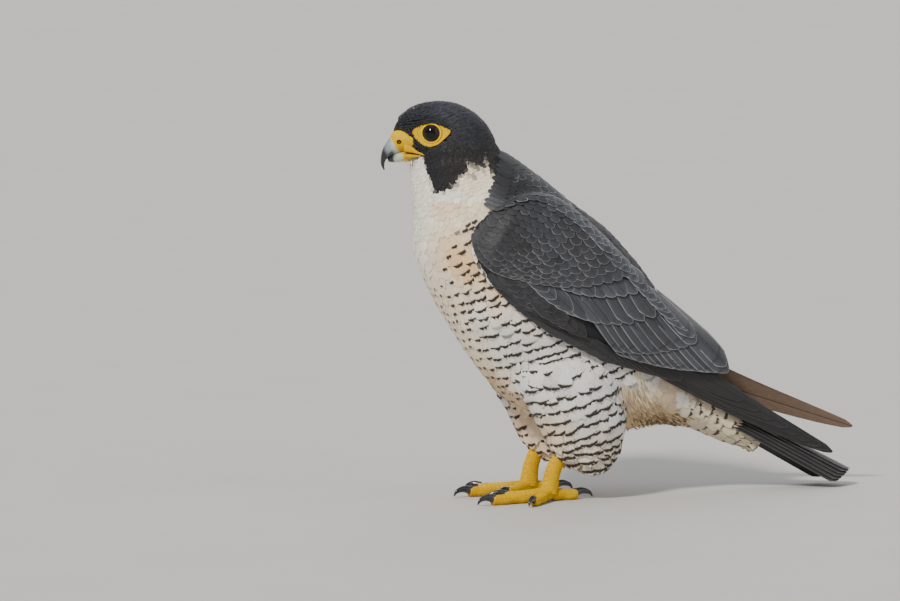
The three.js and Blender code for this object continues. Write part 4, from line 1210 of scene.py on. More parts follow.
def makeVentTuft():
    plan = tuftPlan["vent"]
    rng = np.random.default_rng(17)
    count = plan["count"]
    part = rng.random(count) ** 1.5
    turn = (
        np.radians(mix(plan["arc"][0], plan["arc"][1] - 45 * part, rng.random(count)))
        * np.where(rng.random(count) < 0.5, -1, 1)
    )
    t = mix(*plan["stations"], part) / (len(bodyShape["stations"]) - 1)
    roots = bodyPoint(t, pi + turn)
    keep = ~insideThigh(roots, 0.05) & ~underWing(roots, 2)
    part, turn, t, roots = part[keep], turn[keep], t[keep], roots[keep]
    lie = np.array(plan["lie"]) + stacked(
        1.3 * part, -0.3 * np.sign(roots[:, 1]) * (np.cos(turn) > 0.3), 0 * part
    )
    length = mix(*plan["length"], rng.random(len(t))) * mix(1.1, 0.75, part)
    laid = layOnCoat(roots, length, np.full(len(t), plan["half"]), lie, free=plan["free"])
    low = ease(84, 56, laid["pm"][:, 2])
    tone = tint(hue["cream"], hue["white"], 0.6 * rng.random(len(t)))
    tone = tint(tone, hue["buffPale"], mix(0.35, 0.9, low))
    tone = tint(tone, hue["buff"], low * mix(0.2, 0.8, rng.random(len(t))))
    bake = ringBake(pi + turn, t)
    makeTuft("ventTuft", laid, tone, 0.3 + 0.6 * low, bake, 18)


def makeThighTuft(sideName):
    plan = tuftPlan["thigh"]
    side = -1 if sideName == "left" else 1
    rng = np.random.default_rng(19 + side)
    count = plan["count"]
    t, angle = mix(*plan["shares"], rng.random(count)), 2 * pi * rng.random(count)
    lie = np.broadcast_to(np.array(plan["lie"]), (count, 3))
    laid = layOnCoat(
        thighPoint(t, angle, side), mix(*plan["length"], rng.random(count)), np.full(count, plan["half"]),
        lie, free=plan["free"]
    )
    tone = tint(thighHue(laid["p1"]), hue["cream"], 0.6 * rng.random(count))
    bake = ringBake(angle, t)
    makeTuft("thighTuft" + sideName.title(), laid, tone, 0.5, bake, 20 + side)


for tractName in bodyPlan["tracts"]:
    makeBodyPlumage(tractName)
makeHeadPlumage()
makeVentTuft()
for sideName in ("left", "right"):
    makeThighPlumage(sideName)
    makeThighTuft(sideName)


# Skin finish: it lies inside the coat by its depth and takes the colours of the coat over it.
def skinHue(p):
    station = np.linspace(0, 1, 160)
    angle = np.linspace(0, 2 * pi, 73)[:-1]
    t, q = gridOf(station, angle)
    known = bodyPoint(t, q).reshape(-1, 3)
    tones, _ = bodyHue(known, t.ravel(), q.ravel())
    near = nearestOf(known, p)
    colour = tones[near]
    head = insideHead(p, -0.25) & (toHead(p)[:, 2] > -40)
    colour[head] = headHue(p[head])
    leg = insideThigh(p, -0.12) & (p[:, 2] < 90)
    colour[leg] = thighHue(p[leg])
    return colour


def nearestOf(known, wanted):
    tree = KDTree(len(known))
    for i, place in enumerate(known.tolist()):
        tree.insert(place, i)
    tree.balance()
    return np.array([tree.find(place)[1] for place in wanted.tolist()])


setColour(skin, "tone", skinHue(skinPoints) * 0.55)
inset = (skinPoints + skinNormals * skinPlan["shrink"] + shift) / 1000
skin.data.vertices.foreach_set("co", inset.ravel().astype(np.float32))
skin.data.update()
skinLook, skinTree, skinShader = newMaterial("skinDown", {"Roughness": 0.85, "Specular IOR Level": 0.1})
down = noiseOf(skinTree, None, 900.0, 3.0, 0.6)
skinTree.links.new(
    mixHue(
        skinTree, calc(skinTree, "MULTIPLY", down, 0.5), attributeOf(skinTree, "tone").outputs["Color"],
        (0.05, 0.045, 0.04)
    ),
    skinShader.inputs["Base Color"],
)
bumpInto(skinTree, skinShader, down, 0.5, 0.0005)
finishPiece(skin, skinLook, ("head", "neck", "torso", "vent", "thigh_left", "thigh_right"))
print("skin dressed")


# Wings
wingHue = {
    "lesser": (0.036, 0.036, 0.041), "covert": (0.046, 0.046, 0.051), "bloom": (0.125, 0.142, 0.175),
    "inner": (0.042, 0.042, 0.047),
    "flight": (0.017, 0.015, 0.016), "farFlight": (0.16, 0.105, 0.070), "edge": (0.80, 0.77, 0.70),
}
flightWidth = [[0, 0.55], [0.3, 0.9], [0.6, 1], [0.85, 0.9], [1, 0.62]]
pointWidth = [[0, 0.7], [0.25, 0.95], [0.6, 1], [0.85, 0.72], [1, 0.32]]
covertWidth = [[0, 0.4], [0.35, 0.85], [0.65, 1], [0.9, 0.92], [1, 0.8]]
shaftColumns = (-1, -0.72, -0.42, -0.18, -0.05, 0, 0.05, 0.18, 0.42, 0.72, 1)


# Lower edge of the wing's flesh. Behind the wrist it draws in from the sheet's own edge.
def armLow(a):
    return tableValue(wingShape["lower"], a) + 6 * np.clip((a - 60) / 60, 0, 1)


# Top of the wing's flesh over its sheet: thick along its middle, thinner to its edges and wrist.
def armTop(a, b):
    low = armLow(a)
    high = tableValue(wingShape["upper"], a)
    q = np.clip((b - low) / (high - low), 0, 1)
    edge = np.clip(1 - np.abs(2 * q - 1) ** (3 + 3 * np.clip((a - 60) / 60, 0, 1)), 0, 1) ** 0.5
    return 2.4 + (9.6 - 1.2 * np.clip((a - 60) / 90, 0, 1)) * edge * ease(-1, 19, a)


# Feathers on the wing or tail sheet. Each runs from its root in its direction with a slight bend; its
# height goes from root to tip, with a raised shaft, a droop to each side and, on coverts, the flesh's own
# height under it.
def sheetVanes(name, sheet, f, plan, tone, mark, bakePlace, flip, base=None, seed=21):
    rng = np.random.default_rng(seed)
    count = len(f["a"])
    s, x = vaneGrid(plan, count, rng)
    wide = lambda key, other=0.0: np.broadcast_to(
        np.asarray(f.get(key, other), float), (count,)
    )[:, None, None]
    turn = wide("direction") + wide("bend") * s
    far = wide("length") * s
    side = x * wide("half")
    aa = wide("a") + far * np.cos(turn) - side * np.sin(turn)
    bb = wide("b") + far * np.sin(turn) + side * np.cos(turn)
    ridge = plan.get("ridge", 0.25) * np.exp(-((x * wide("half") / 0.7) ** 2)) * (1 - s)
    h = mix(wide("root"), wide("tip"), s ** plan.get("power", 1.0)) + ridge
    h = h - plan.get("droop", 0.5) * x**2 - wide("tilt") * x
    h = h + (rng.normal(size=count) * plan.get("uneven", 0.08))[:, None, None] * s
    if base is not None:
        h = h + base(aa, bb)
    thick = plan.get("thick", 0.3) * (1 - 0.85 * x**2) * (1 - 0.5 * s)
    top, low = sheet(aa, bb, h), sheet(aa, bb, h - thick)
    piece = vaneMesh(name, top, low, flip)
    dressVanes(piece, s, x, wide("length")[:, 0, 0], wide("half")[:, 0, 0], tone, mark, bakePlace)
    return piece


def joinFields(fields):
    count = [len(f["a"]) for f in fields]
    keys = set().union(*fields)
    wide = lambda value, n: np.broadcast_to(np.asarray(value, float), (n,))
    return {key: np.concatenate([wide(f.get(key, 0.0), n) for f, n in zip(fields, count)]) for key in keys}


# A tier of feathers whose tips stand on a line from one place to another.
def tierOf(count, tipA, tipB, direction, length, half, root, tip, sag=0.0, tilt=0.0, wave=0.03, tone=0.5):
    q = np.linspace(0, 1, count)
    part = lambda pair: mix(pair[0], pair[1], q)
    turn = np.radians(part(direction))
    long = part(length) * (1 + wave * np.sin(np.arange(count) * 2.4))
    a = part(tipA) - long * np.cos(turn)
    b = part(tipB) + sag * 4 * q * (1 - q) - long * np.sin(turn)
    return {
        "a": a, "b": b, "direction": turn, "length": long, "half": part(half), "root": part(root),
        "tip": part(tip), "tilt": np.full(count, tilt), "q": q, "kind": np.full(count, tone)
    }


folds = {
    "left": {"side": -1, "turn": 0.0, "lift": 0.0, "slide": 0.0, "stretch": 1.0},
    "right": {"side": 1, "turn": radians(7), "lift": 1.0, "slide": 8.0, "stretch": 1.05},
}
armTiers = {
    "secondaries": dict(
        count=13, tipA=(152, 234), tipB=(-12, 16), direction=(-18, -11), length=(76, 84), half=(8.4, 9.4),
        root=(9.4, 9.2), tip=(10.2, 10.9), sag=-2, tilt=0.7,
    ),
    "upper": dict(
        count=9, tipA=(146, 198), tipB=(-11, 19), direction=(-20, -13), length=(62, 56), half=(8.2, 7.8),
        root=(10.2, 9.0), tip=(11.2, 11.6), sag=-2, tilt=0.7,
    ),
    "inner": dict(
        count=4, tipA=(212, 230), tipB=(25, 18), direction=(-11, -12), length=(58, 62), half=(6.2, 7.2),
        root=(7.0, 8.6), tip=(9.6, 11.4), tilt=0.5,
    ),
    "greater": dict(
        count=13, tipA=(59, 154), tipB=(-2, 18), direction=(-8, -21), length=(30, 40), half=(5.6, 7.8),
        root=(10.8, 8.8), tip=(11.4, 12.0), sag=-14, tilt=0.65,
    ),
    "median": dict(
        count=12, tipA=(50, 140), tipB=(4, 31), direction=(-18, -16), length=(19, 28), half=(4.8, 6.6),
        root=(11.6, 8.6), tip=(12.1, 11.8), sag=-10, tilt=0.6,
    ),
}


# Lesser coverts: tiers of small feathers from the wrist back to the median ones, growing as they go.
def lesserField():
    tiers = []
    for k in range(14):
        q = k / 13
        lowA, highA = mix(6, 44, q), mix(13, 128, q)
        low = (lowA, float(tableValue(wingShape["lower"], lowA)) + mix(3.5, 14, q**2))
        high = (highA, float(tableValue(wingShape["upper"], highA)) - mix(3, 5, q))
        space = mix(3.6, 7.6, q)
        count = int(np.hypot(high[0] - low[0], high[1] - low[1]) / space) + 1
        tiers.append(tierOf(
            count, (low[0], high[0]), (low[1], high[1]), (mix(-44, -30, q), mix(-30, -20, q)),
            (mix(9, 20, q),) * 2, (space * 0.86,) * 2,
            (-1.2, -1.2), (mix(0.5, 1.1, q),) * 2, sag=mix(-2, -6, q), tilt=0.35, wave=0.12, tone=q,
        ))
    return joinFields(tiers)


# Small dark coverts along the wing's lower front, between the lesser ones and its pale edge.
def frontField():
    tiers = []
    for k in range(5):
        q = k / 4
        b = mix(1.5, 13, q)
        low = [float(tableValue(wingShape["lower"], a)) + b for a in (40, 88)]
        tiers.append(tierOf(
            9, (40 + 6 * q, 92), (low[0], low[1]), (-12, -3), (17, 24), (4.0, 4.6), (-1.2, -1.2),
            (0.5, 0.9), sag=-2, tilt=0.3, wave=0.15, tone=0.15,
        ))
    return joinFields(tiers)


# Scapulars: tiers over the wing's upper edge and the side of the back, small by the shoulder and long
# behind. Their lower ends stand out from the wing and leave a crease at the shoulder.
scapularLow = [[8, 28], [24, 43], [44, 47], [80, 44], [101, 39], [128, 33], [170, 25], [226, 16]]


def scapularField():
    tiers = []
    for k in range(21):
        q = k / 20
        a = 9 + 186 * q**1.2
        low = float(tableValue(scapularLow, a))
        high = float(tableValue(wingShape["roof"], a)) * mix(0.93, 0.84, q)
        count = max(4, int((high - low) / mix(3.0, 6.2, q)) + 1)
        near = float(ease(0.3, 0.05, q))
        tiers.append(tierOf(
            count, (a, a - mix(2, 18, q)), (low, high), (mix(-24 + 34 * near, -13, q), -7),
            (mix(13, 48, q),) * 2, (mix(2.8, 7.4, q),) * 2,
            (-1.3, -1.0), (mix(0.9, 1.4, q) + 1.5 * near, mix(0.4, 0.8, q)), tilt=mix(0.2, 0.45, q),
            wave=0.09, tone=q,
        ))
    return joinFields(tiers)


# What the scapulars lie on: the flesh, and farther back the secondaries' upper part.
def underScapulars(a, b):
    flesh = armTop(a, b)
    behind = 2.2 + 9.6 * ease(36, 12, b)
    return mix(flesh, np.maximum(flesh, behind), ease(105, 140, a))


# Small pale feathers along the folded wing's lower front edge.
def marginField():
    count = 30
    a = np.linspace(7, 90, count) + 0.9 * np.sin(np.arange(count) * 2.7)
    b = tableValue(wingShape["lower"], a) - 1.2
    slope = np.arctan2(tableValue(wingShape["lower"], a + 2) - tableValue(wingShape["lower"], a - 2), 4)
    return {
        "a": a - 4 * np.cos(slope), "b": b - 4 * np.sin(slope), "direction": slope - 0.12,
        "length": 6.5 + 1.8 * np.sin(np.arange(count) * 1.9), "half": np.full(count, 1.25),
        "root": np.full(count, 0.6), "tip": np.full(count, 2.4), "tilt": np.full(count, 0.0),
        "q": np.linspace(0, 1, count), "kind": np.zeros(count)
    }


def wingBake(f):
    return stacked(0.03 + 0.9 * (f["a"] + 20) / 420, 0.03 + 0.9 * (f["b"] + 50) / 150)


def plainMark(count, rng):
    return markOf(0.1, 0.3, 0, count, rng)


def bloomHue(f, low, high, amount, rng):
    place = stacked(f["a"], f["b"], 0 * f["a"])
    cast = np.clip(0.5 + 0.5 * wobble(place, 16, 2) + 0.25 * rng.normal(size=len(place)), 0, 1)
    return tint(low, high, amount * cast) * (1 + 0.1 * rng.normal(size=(len(cast), 1)))


covertVane = {
    "rows": 9, "columns": 9, "width": covertWidth, "fray": 0.02, "tipRound": 0.3, "tipPower": 2.2,
    "thick": 0.26, "droop": 0.2, "ridge": 0.12, "power": 0.8, "uneven": 0.12
}
lesserVane = {
    **covertVane, "rows": 7, "columns": 7, "droop": 0.15, "ridge": 0.06, "fray": 0.04, "power": 0.6
}
quillVane = {
    "rows": 20, "columns": 11, "spread": shaftColumns, "width": flightWidth, "fray": 0.006,
    "tipRound": 0.12, "tipPower": 2.4, "thick": 0.36, "droop": 0.18, "ridge": 0.35
}
pointVane = {**quillVane, "rows": 26, "width": pointWidth, "tipRound": 0.035, "tipPower": 2, "droop": 0.3}
marginVane = {
    "rows": 6, "columns": 5, "width": covertWidth, "fray": 0.08, "tipRound": 0.35, "thick": 0.25,
    "droop": 0.2, "ridge": 0.0
}


def makeWing(sideName):
    fold = folds[sideName]
    side, flip = fold["side"], fold["side"] > 0
    rng = np.random.default_rng(31 + side)
    label = "wing" + sideName.title()
    sheet = lambda a, b, h: wingPoint(a, b, h, side)

    def addVanes(part, f, plan, tone, mark, base, seed, look, nodes=()):
        piece = sheetVanes(label + part, sheet, f, plan, tone, mark, wingBake(f), flip, base, seed)
        finishPiece(piece, look, nodes)

    # flesh
    a, q = gridOf(np.linspace(-1, 158, 60), np.linspace(0, 1, 28))
    low = armLow(a)
    b = low + (tableValue(wingShape["upper"], a) - low) * q
    sunk = mix(1.2, 2.8, ease(30, 60, a))
    core = vaneMesh(
        label + "Flesh", sheet(a, b, armTop(a, b) - sunk)[None], sheet(a, b, np.full(a.shape, 0.4))[None],
        flip
    )
    finishPiece(core, wingFlesh, ("wing_" + sideName + "_arm",))

    # lesser coverts and the pale edge
    f = joinFields([lesserField(), frontField()])
    tone = (
        bloomHue(f, wingHue["lesser"], wingHue["bloom"], 0.16, rng)
        * mix(0.72, 1.05, np.clip(f["kind"], 0, 1))[:, None]
    )
    tone = np.column_stack([tone, ease(0.1, 0.7, f["kind"] + 0.15 * rng.normal(size=len(tone)))])
    mark = plainMark(len(tone), rng)
    addVanes("LesserCoverts", f, lesserVane, tone, mark, armTop, 41, lesserLook)
    f = marginField()
    tone = tint(wingHue["edge"], wingHue["covert"], (rng.random(len(f["a"])) < 0.25) * 0.9)
    mark = plainMark(len(tone), rng)
    addVanes("Edge", f, marginVane, tone, mark, None, 42, downy)

    # median and greater coverts, then the scapulars over them
    f = joinFields([tierOf(**armTiers[name]) for name in ("greater", "median")])
    tone = bloomHue(f, wingHue["covert"], wingHue["bloom"], 0.4, rng)
    tone = np.column_stack([tone, rng.uniform(0.7, 1.0, len(tone))])
    mark = plainMark(len(tone), rng)
    addVanes("Coverts", f, covertVane, tone, mark, None, 43, covertLook)
    f = scapularField()
    high = ease(30, 62, f["b"] + 0.1 * f["a"]) * ease(0.1, 0.45, f["kind"])
    tone = tint(
        bloomHue(f, wingHue["lesser"], wingHue["bloom"], 0.35, rng), wingHue["bloom"],
        0.55 * high * rng.random(len(f["a"]))
    )
    height = wingShape["origin"][1] - 0.53 * f["a"] + 0.848 * f["b"]
    tone = tone * mix(1.0, 0.4, ease(226, 236, height))[:, None]
    tone = np.column_stack([tone, ease(0.0, 0.35, f["kind"] + 0.1 * rng.normal(size=len(tone)))])
    mark = markOf(0.8, 0.55, 0.5 * (f["kind"] > 0.3), len(tone), rng)
    addVanes("Scapulars", f, covertVane, tone, mark, underScapulars, 44, covertLook)

    # secondaries
    f = joinFields([tierOf(**armTiers[name]) for name in ("secondaries", "upper", "inner")])
    tone = bloomHue(f, wingHue["inner"], wingHue["bloom"], 0.3, rng)
    tone = np.column_stack([tone, rng.uniform(0.4, 0.8, len(tone))])
    mark = plainMark(len(tone), rng)
    mark[:, :3] = stacked(
        np.full(len(tone), 0.8), rng.uniform(0.5, 1.0, len(tone)), np.full(len(tone), 0.45)
    )
    addVanes("Secondaries", f, quillVane, tone, mark, None, 45, covertLook)

    # the folded hand: primaries, the outermost lowest, and their coverts
    i = np.linspace(0, 6, 9)
    q = i / 6
    reach = (200 - 5 * i - 2.2 * i**2 + 0.08 * i**3) * fold["stretch"]
    f = {
        "a": 150 + fold["slide"] + 0 * i, "b": -9.5 + fold["lift"] + 10 * q,
        "direction": np.radians(5.6 - 2.6 * q) + fold["turn"], "bend": np.full(9, radians(0.6)),
        "length": reach, "half": (15.5 - 1.5 * np.abs(q - 0.4)) / 2, "root": 1.2 + 0.62 * i,
        "tip": 1.6 + 0.95 * i, "tilt": np.full(9, 0.15), "q": q, "kind": q
    }
    dark = wingHue["farFlight"] if side > 0 else wingHue["flight"]
    tone = bloomHue(f, dark, wingHue["inner"], 0.2, rng)
    tone = np.column_stack([tone, rng.uniform(0.1, 0.8, len(tone))])
    mark, hand = plainMark(len(tone), rng), ("wing_" + sideName + "_hand",)
    addVanes("Primaries", f, pointVane, tone, mark, None, 46, flightLook, hand)
    lift = fold["lift"]
    f = joinFields([
        tierOf(
            8, (150, 202), (-20 + lift * 0.6, -5 + lift), (1, 3), (42, 54), (5.2, 6.4), (3.4, 5.4),
            (4.2, 7.4), tilt=0.4
        ),
        tierOf(5, (104, 146), (-24, -21), (3, -2), (34, 40), (5.4, 5.6), (4.6, 5.2), (5.8, 6.8), tilt=0.4),
        tierOf(
            4, (84, 112), (-19, -17), (-14, -8), (34, 42), (6.2, 6.6), (8.4, 8.0), (10.2, 9.0), tilt=0.5
        ),
    ])
    tone = bloomHue(f, wingHue["flight"], wingHue["covert"], 0.6, rng)
    mark, plan = plainMark(len(tone), rng), {**covertVane, "rows": 12, "ridge": 0.3}
    addVanes("PrimaryCoverts", f, plan, tone, mark, None, 47, flightLook)
    block = lambda a: tableValue(wingShape["lower"], a) + 5 + lift * np.clip((a - 100) / 80, 0, 1)
    a, q = gridOf(np.linspace(126, 190, 20), np.linspace(0, 1, 8))
    b = block(a) + (19 - 7 * np.clip((a - 150) / 40, 0, 1)) * q
    top = 0.6 + 5.6 * np.sin(pi * np.clip((a - 120) / 84, 0, 1)) ** 0.6
    hand = vaneMesh(
        label + "HandFlesh", sheet(a, b, top)[None], sheet(a, b, np.full(a.shape, 0.4))[None], flip
    )
    finishPiece(hand, wingFlesh)
    print(label, "made")


wingFlesh, wingTree, wingShader = newMaterial(
    "wingDown", {"Base Color": (0.03, 0.031, 0.036, 1), "Roughness": 0.8, "Specular IOR Level": 0.1}
)
bumpInto(wingTree, wingShader, noiseOf(wingTree, None, 700.0, 3.0), 0.4, 0.0005)
lesserLook = featherMaterial("lesserCoverts", {
    "roughness": 0.55, "specular": 0.3, "sheen": 0.1, "bump": 0.35,
    "group": {
        "Fringe colour": (0.22, 0.21, 0.21), "Fringe width": 0.5, "Fringe strength": 0.75,
        "Shaft colour": (0.012, 0.011, 0.012),
        "Shaft strength": 0.4, "Barb contrast": 0.6, "Dark heart": 0.3,
    },
})
makeWing("left")
makeWing("right")


# Tail
def makeTail():
    rng = np.random.default_rng(51)
    parts = []
    for side in (-1, 1):
        i = np.arange(6)
        drop = 0.45 * (side > 0)
        parts.append({
            "a": np.full(6, 12.0), "b": side * (2 + 2.3 * i),
            "direction": side * np.radians(0.7 + 0.42 * i), "length": 153 - 1.6 * i,
            "half": np.full(6, 8.6), "root": 0.4 - 0.9 * i - drop, "tip": 0.6 - 0.98 * i - drop,
            "tilt": np.full(6, 0.0), "q": i / 5, "kind": i / 5,
        })
    f = joinFields(parts)
    tone = bloomHue(f, (0.022, 0.021, 0.023), (0.060, 0.062, 0.070), 0.5, rng)
    plan = {
        **quillVane, "rows": 28, "width": [[0, 0.6], [0.3, 0.9], [0.6, 1], [0.9, 1], [1, 0.9]],
        "tipRound": 0.05, "tipPower": 2.6, "thick": 0.34, "droop": 0.25
    }
    bake = stacked(0.5 + f["b"] / 60, 0.1 + 0.03 * f["q"])
    piece = sheetVanes(
        "tailFeathers", tailPoint, f, plan, tone, plainMark(len(tone), rng), bake, False, None, 52
    )
    finishPiece(piece, tailLook, ("tail",))
    f = joinFields([
        tierOf(7, (70, 70), (-14, 14), (-4, 4), (48, 48), (5.4, 5.4), (0.9, 0.9), (1.8, 1.8)),
        tierOf(7, (52, 52), (-14, 14), (-3, 3), (40, 40), (5.4, 5.4), (1.6, 1.6), (2.6, 2.6)),
        tierOf(6, (34, 34), (-12, 12), (-2, 2), (34, 34), (5.6, 5.6), (2.2, 2.2), (3.4, 3.4)),
    ])
    tone = bloomHue(f, (0.030, 0.031, 0.037), wingHue["bloom"], 0.4, rng)
    bake = stacked(0.5 + f["b"] / 60, 0.3 + f["a"] / 100)
    piece = sheetVanes(
        "tailCoverts", tailPoint, f, covertVane, tone, plainMark(len(tone), rng), bake, False, None, 53
    )
    finishPiece(piece, covertLook)
    print("tail made")


tailLook = featherMaterial("tailFeatherLook", {
    "roughness": 0.45, "specular": 0.35, "sheen": 0.05, "bump": 0.3,
    "group": {
        "Fringe colour": (0.20, 0.17, 0.13), "Fringe width": 0.45, "Fringe strength": 0.35,
        "Shaft colour": (0.010, 0.010, 0.011),
        "Shaft strength": 0.8, "Barb contrast": 0.4,
    },
})
makeTail()


# Bill
billShape = {
    # top x, z, bottom x, z, half width, in the head's frame
    "upper": [
        [-30, 4, -19, -10.4, 13], [-35.5, 6.6, -25, -10.2, 11.6], [-41, 7.6, -30.5, -9.6, 10.4],
        [-45.4, 6, -35.5, -9.2, 9.2],
        [-48.4, 2, -40, -9.8, 7.9], [-51.4, -2.7, -44.8, -11.4, 6.5], [-53.9, -7, -48.6, -13.2, 5.1],
        [-55.2, -11.6, -51, -15, 3.8], [-55.6, -16.2, -52.2, -17.4, 2.7], [-55, -19.9, -52.6, -20.2, 1.7],
        [-53.2, -23.2, -52.3, -22.8, 0.8],
    ],
    "lower": [
        [-24, -8, -28, -16, 9.6], [-33, -7.6, -34, -16.4, 8.6], [-41, -9, -40.5, -17, 6.6],
        [-46, -11, -45.4, -17.4, 4.8],
        [-50.4, -14, -49.6, -17, 2.8],
    ],
    "cerePlane": ((-45, 0, -4), (-0.86, 0, -0.51)),
    "nostril": (-41.6, -1.6), "nostrilRadius": 1.9,
}
# The deep orange is both the bare skin's own deeper tone, on the feet and mouth corners, and painted shade
# under the cere, under the lower bill and at the eye skin's outer edge.
bareHue = {
    "yellow": (0.68, 0.44, 0.0), "deep": (0.58, 0.25, 0.0), "horn": (0.27, 0.32, 0.36),
    "hornPale": (0.52, 0.55, 0.44),
    "hornTip": (0.018, 0.019, 0.022), "claw": (0.012, 0.012, 0.014), "pit": (0.055, 0.022, 0.006),
}


# One ring of the bill at t and angle: an oval between its top and bottom points; the cutting edge is
# pinched in.
def billLocal(rows, t, angle, swell=0.0, tooth=0.0):
    tx, tz, bx, bz, half = np.moveaxis(stationValue(rows, t), -1, 0)
    c, s = np.cos(angle), np.sin(angle)
    wide = (half + swell) * np.sign(s) * np.abs(s) ** 0.9
    x = (tx + bx) / 2 + ((tx - bx) / 2 - swell * 0.6) * c
    z = (tz + bz) / 2 + ((tz - bz) / 2 + swell) * c
    edge = np.exp(-(((np.degrees(np.arccos(c)) - 128) / 20) ** 2))
    z = z - tooth * edge * (
        np.exp(-(((t - 0.64) / 0.05) ** 2)) * 1.5 - 0.7 * np.exp(-(((t - 0.76) / 0.05) ** 2))
    )
    return stacked(x, wide, z)


def planeSide(p):
    place, normal = (np.array(v, float) for v in billShape["cerePlane"])
    return (p - place) @ unit(normal)


# How far along the bill the yellow base ends at each angle.
def cereEnd(angle):
    t = np.linspace(0.05, 0.95, 300)
    tt, aa = gridOf(t, angle)
    beyond = planeSide(billLocal(billShape["upper"], tt, aa)) > 0
    return t[beyond.argmax(0)]


def makeBill():
    sides = 96
    angle = turnsOf(sides)
    end = cereEnd(angle)

    # cere: from inside the head to its edge, a little swollen, with a pit and a knob at each nostril
    part, aa = gridOf(np.linspace(0, 1, 90), angle)
    roll = 0.55 * np.sqrt(np.clip(1 - part**8, 0, 1)) - 0.35
    p = billLocal(billShape["upper"], part * end[None], aa, swell=roll)
    nx, nz = billShape["nostril"]
    away = np.hypot(p[..., 0] - nx, (p[..., 2] - nz) * 1.05) / billShape["nostrilRadius"]
    onSide = np.abs(np.sin(aa)) > 0.35
    pit = np.where(onSide, ease(1.08, 0.72, away), 0)
    knob = np.where(onSide, ease(0.42, 0.2, away), 0)
    lip = np.where(onSide, np.exp(-(((away - 1.22) / 0.2) ** 2)), 0)
    p[..., 1] -= np.sign(p[..., 1]) * (2.2 * pit - 1.9 * knob - 0.28 * lip)
    # painted shade and light: the cere turns deep orange low down and paler yellow on top, where it is lit
    tone = tint(bareHue["yellow"], bareHue["deep"], 0.45 * ease(-4, -9, p[..., 2]))
    tone = tint(tone, (0.88, 0.60, 0.02), 0.4 * ease(-1, 6, p[..., 2]))
    # painted shade: the nostril's pit is painted dark brown round its knob
    tone = tint(tone, bareHue["pit"], 0.97 * pit * (1 - knob))
    tone = tint(tone, (0.42, 0.17, 0.02), 0.8 * knob)
    piece = tubeMesh("cereSkin", fromHead(p))
    paint(piece, tone)
    finishPiece(piece, cereLook, ("cere",))

    # upper horn, from under the cere's edge to the hooked tip
    part, aa = gridOf(np.linspace(0, 1, 110), angle)
    t = mix(end[None] - 0.03, 1.0, part**0.9)
    p = billLocal(billShape["upper"], t, aa, swell=-0.12, tooth=1.0)
    beyond = planeSide(p)
    tip = ease(4.5, 10.5, beyond + 0.7 * wobble(p, 2.5))
    top = np.clip(np.cos(aa), 0, 1)
    tone = tint(
        bareHue["hornPale"], bareHue["horn"], ease(0.5, 5.5, beyond + 2.0 * top + 0.8 * wobble(p, 2))
    )
    cutting = np.exp(-(((np.degrees(np.arccos(np.cos(aa))) - 125) / 22) ** 2))
    tone = tint(tone, bareHue["hornTip"], np.maximum(tip, 0.9 * ease(1.5, 5, beyond) * cutting))
    piece = tubeMesh("billHorn", fromHead(p))
    paint(piece, tone)
    finishPiece(piece, hornLook, ("bill_upper",))

    # lower bill, its base yellow
    part, aa = gridOf(np.linspace(0, 1, 70), turnsOf(64))
    p = billLocal(billShape["lower"], part, aa)
    x = p[..., 0]
    # painted shade: the yellow base turns deep orange on its underside
    tone = tint(bareHue["yellow"], bareHue["deep"], 0.5 * ease(0, -1, np.cos(aa)))
    tone = tint(tone, bareHue["hornPale"], ease(-37.5, -41, x + 0.5 * wobble(p, 2)))
    tone = tint(tone, bareHue["hornTip"], ease(-43.5, -47, x + 0.5 * wobble(p, 2)))
    piece = tubeMesh("billLower", fromHead(p))
    paint(piece, tone)
    finishPiece(piece, hornLook, ("bill_lower",))
    print("bill made")


def paint(piece, tone):
    flat = tone.reshape(-1, tone.shape[-1])
    setColour(piece, "tone", np.concatenate([flat, tone[0].mean(0)[None], tone[-1].mean(0)[None]]))


# A tube on a curve: its ring stands across the curve, wider or narrower by radius(t, angle).
def limbGrid(nodes, radius, rings, sides, flatten=1.0):
    t, angle = gridOf(np.linspace(0, 1, rings), turnsOf(sides))
    line = np.linspace(0, 1, rings)
    middle = stationValue(nodes, line)
    run = unit(np.gradient(middle, axis=0))
    across = unit(np.cross(np.array([0.0, 0.0, 1.0]), run))
    up = unit(np.cross(run, across))
    r = radius(t, angle)[..., None]
    grid = (
        middle[:, None] + across[:, None] * r * flatten * np.sin(angle)[..., None]
        + up[:, None] * r * np.cos(angle)[..., None]
    )
    return grid, t, angle


# Mouth corner: yellow lips running back from the bill along the side of the head to one point, the upper
# one broad.
gapePlan = {
    "Upper": {
        "x": (-37.5, -34, -31, -28, -25, -22.8), "z": (-6.2, -6.6, -7.6, -8.8, -9.6, -10.4),
        "radius": (3.2, 2.9, 2.0, 1.05, 0.7, 0.25)
    },
    "Lower": {
        "x": (-38, -34, -31, -28, -25.5), "z": (-11.6, -11.5, -11.4, -11.2, -11.0),
        "radius": (1.5, 1.4, 1.1, 0.7, 0.25)
    },
    "flatten": 0.5,
}


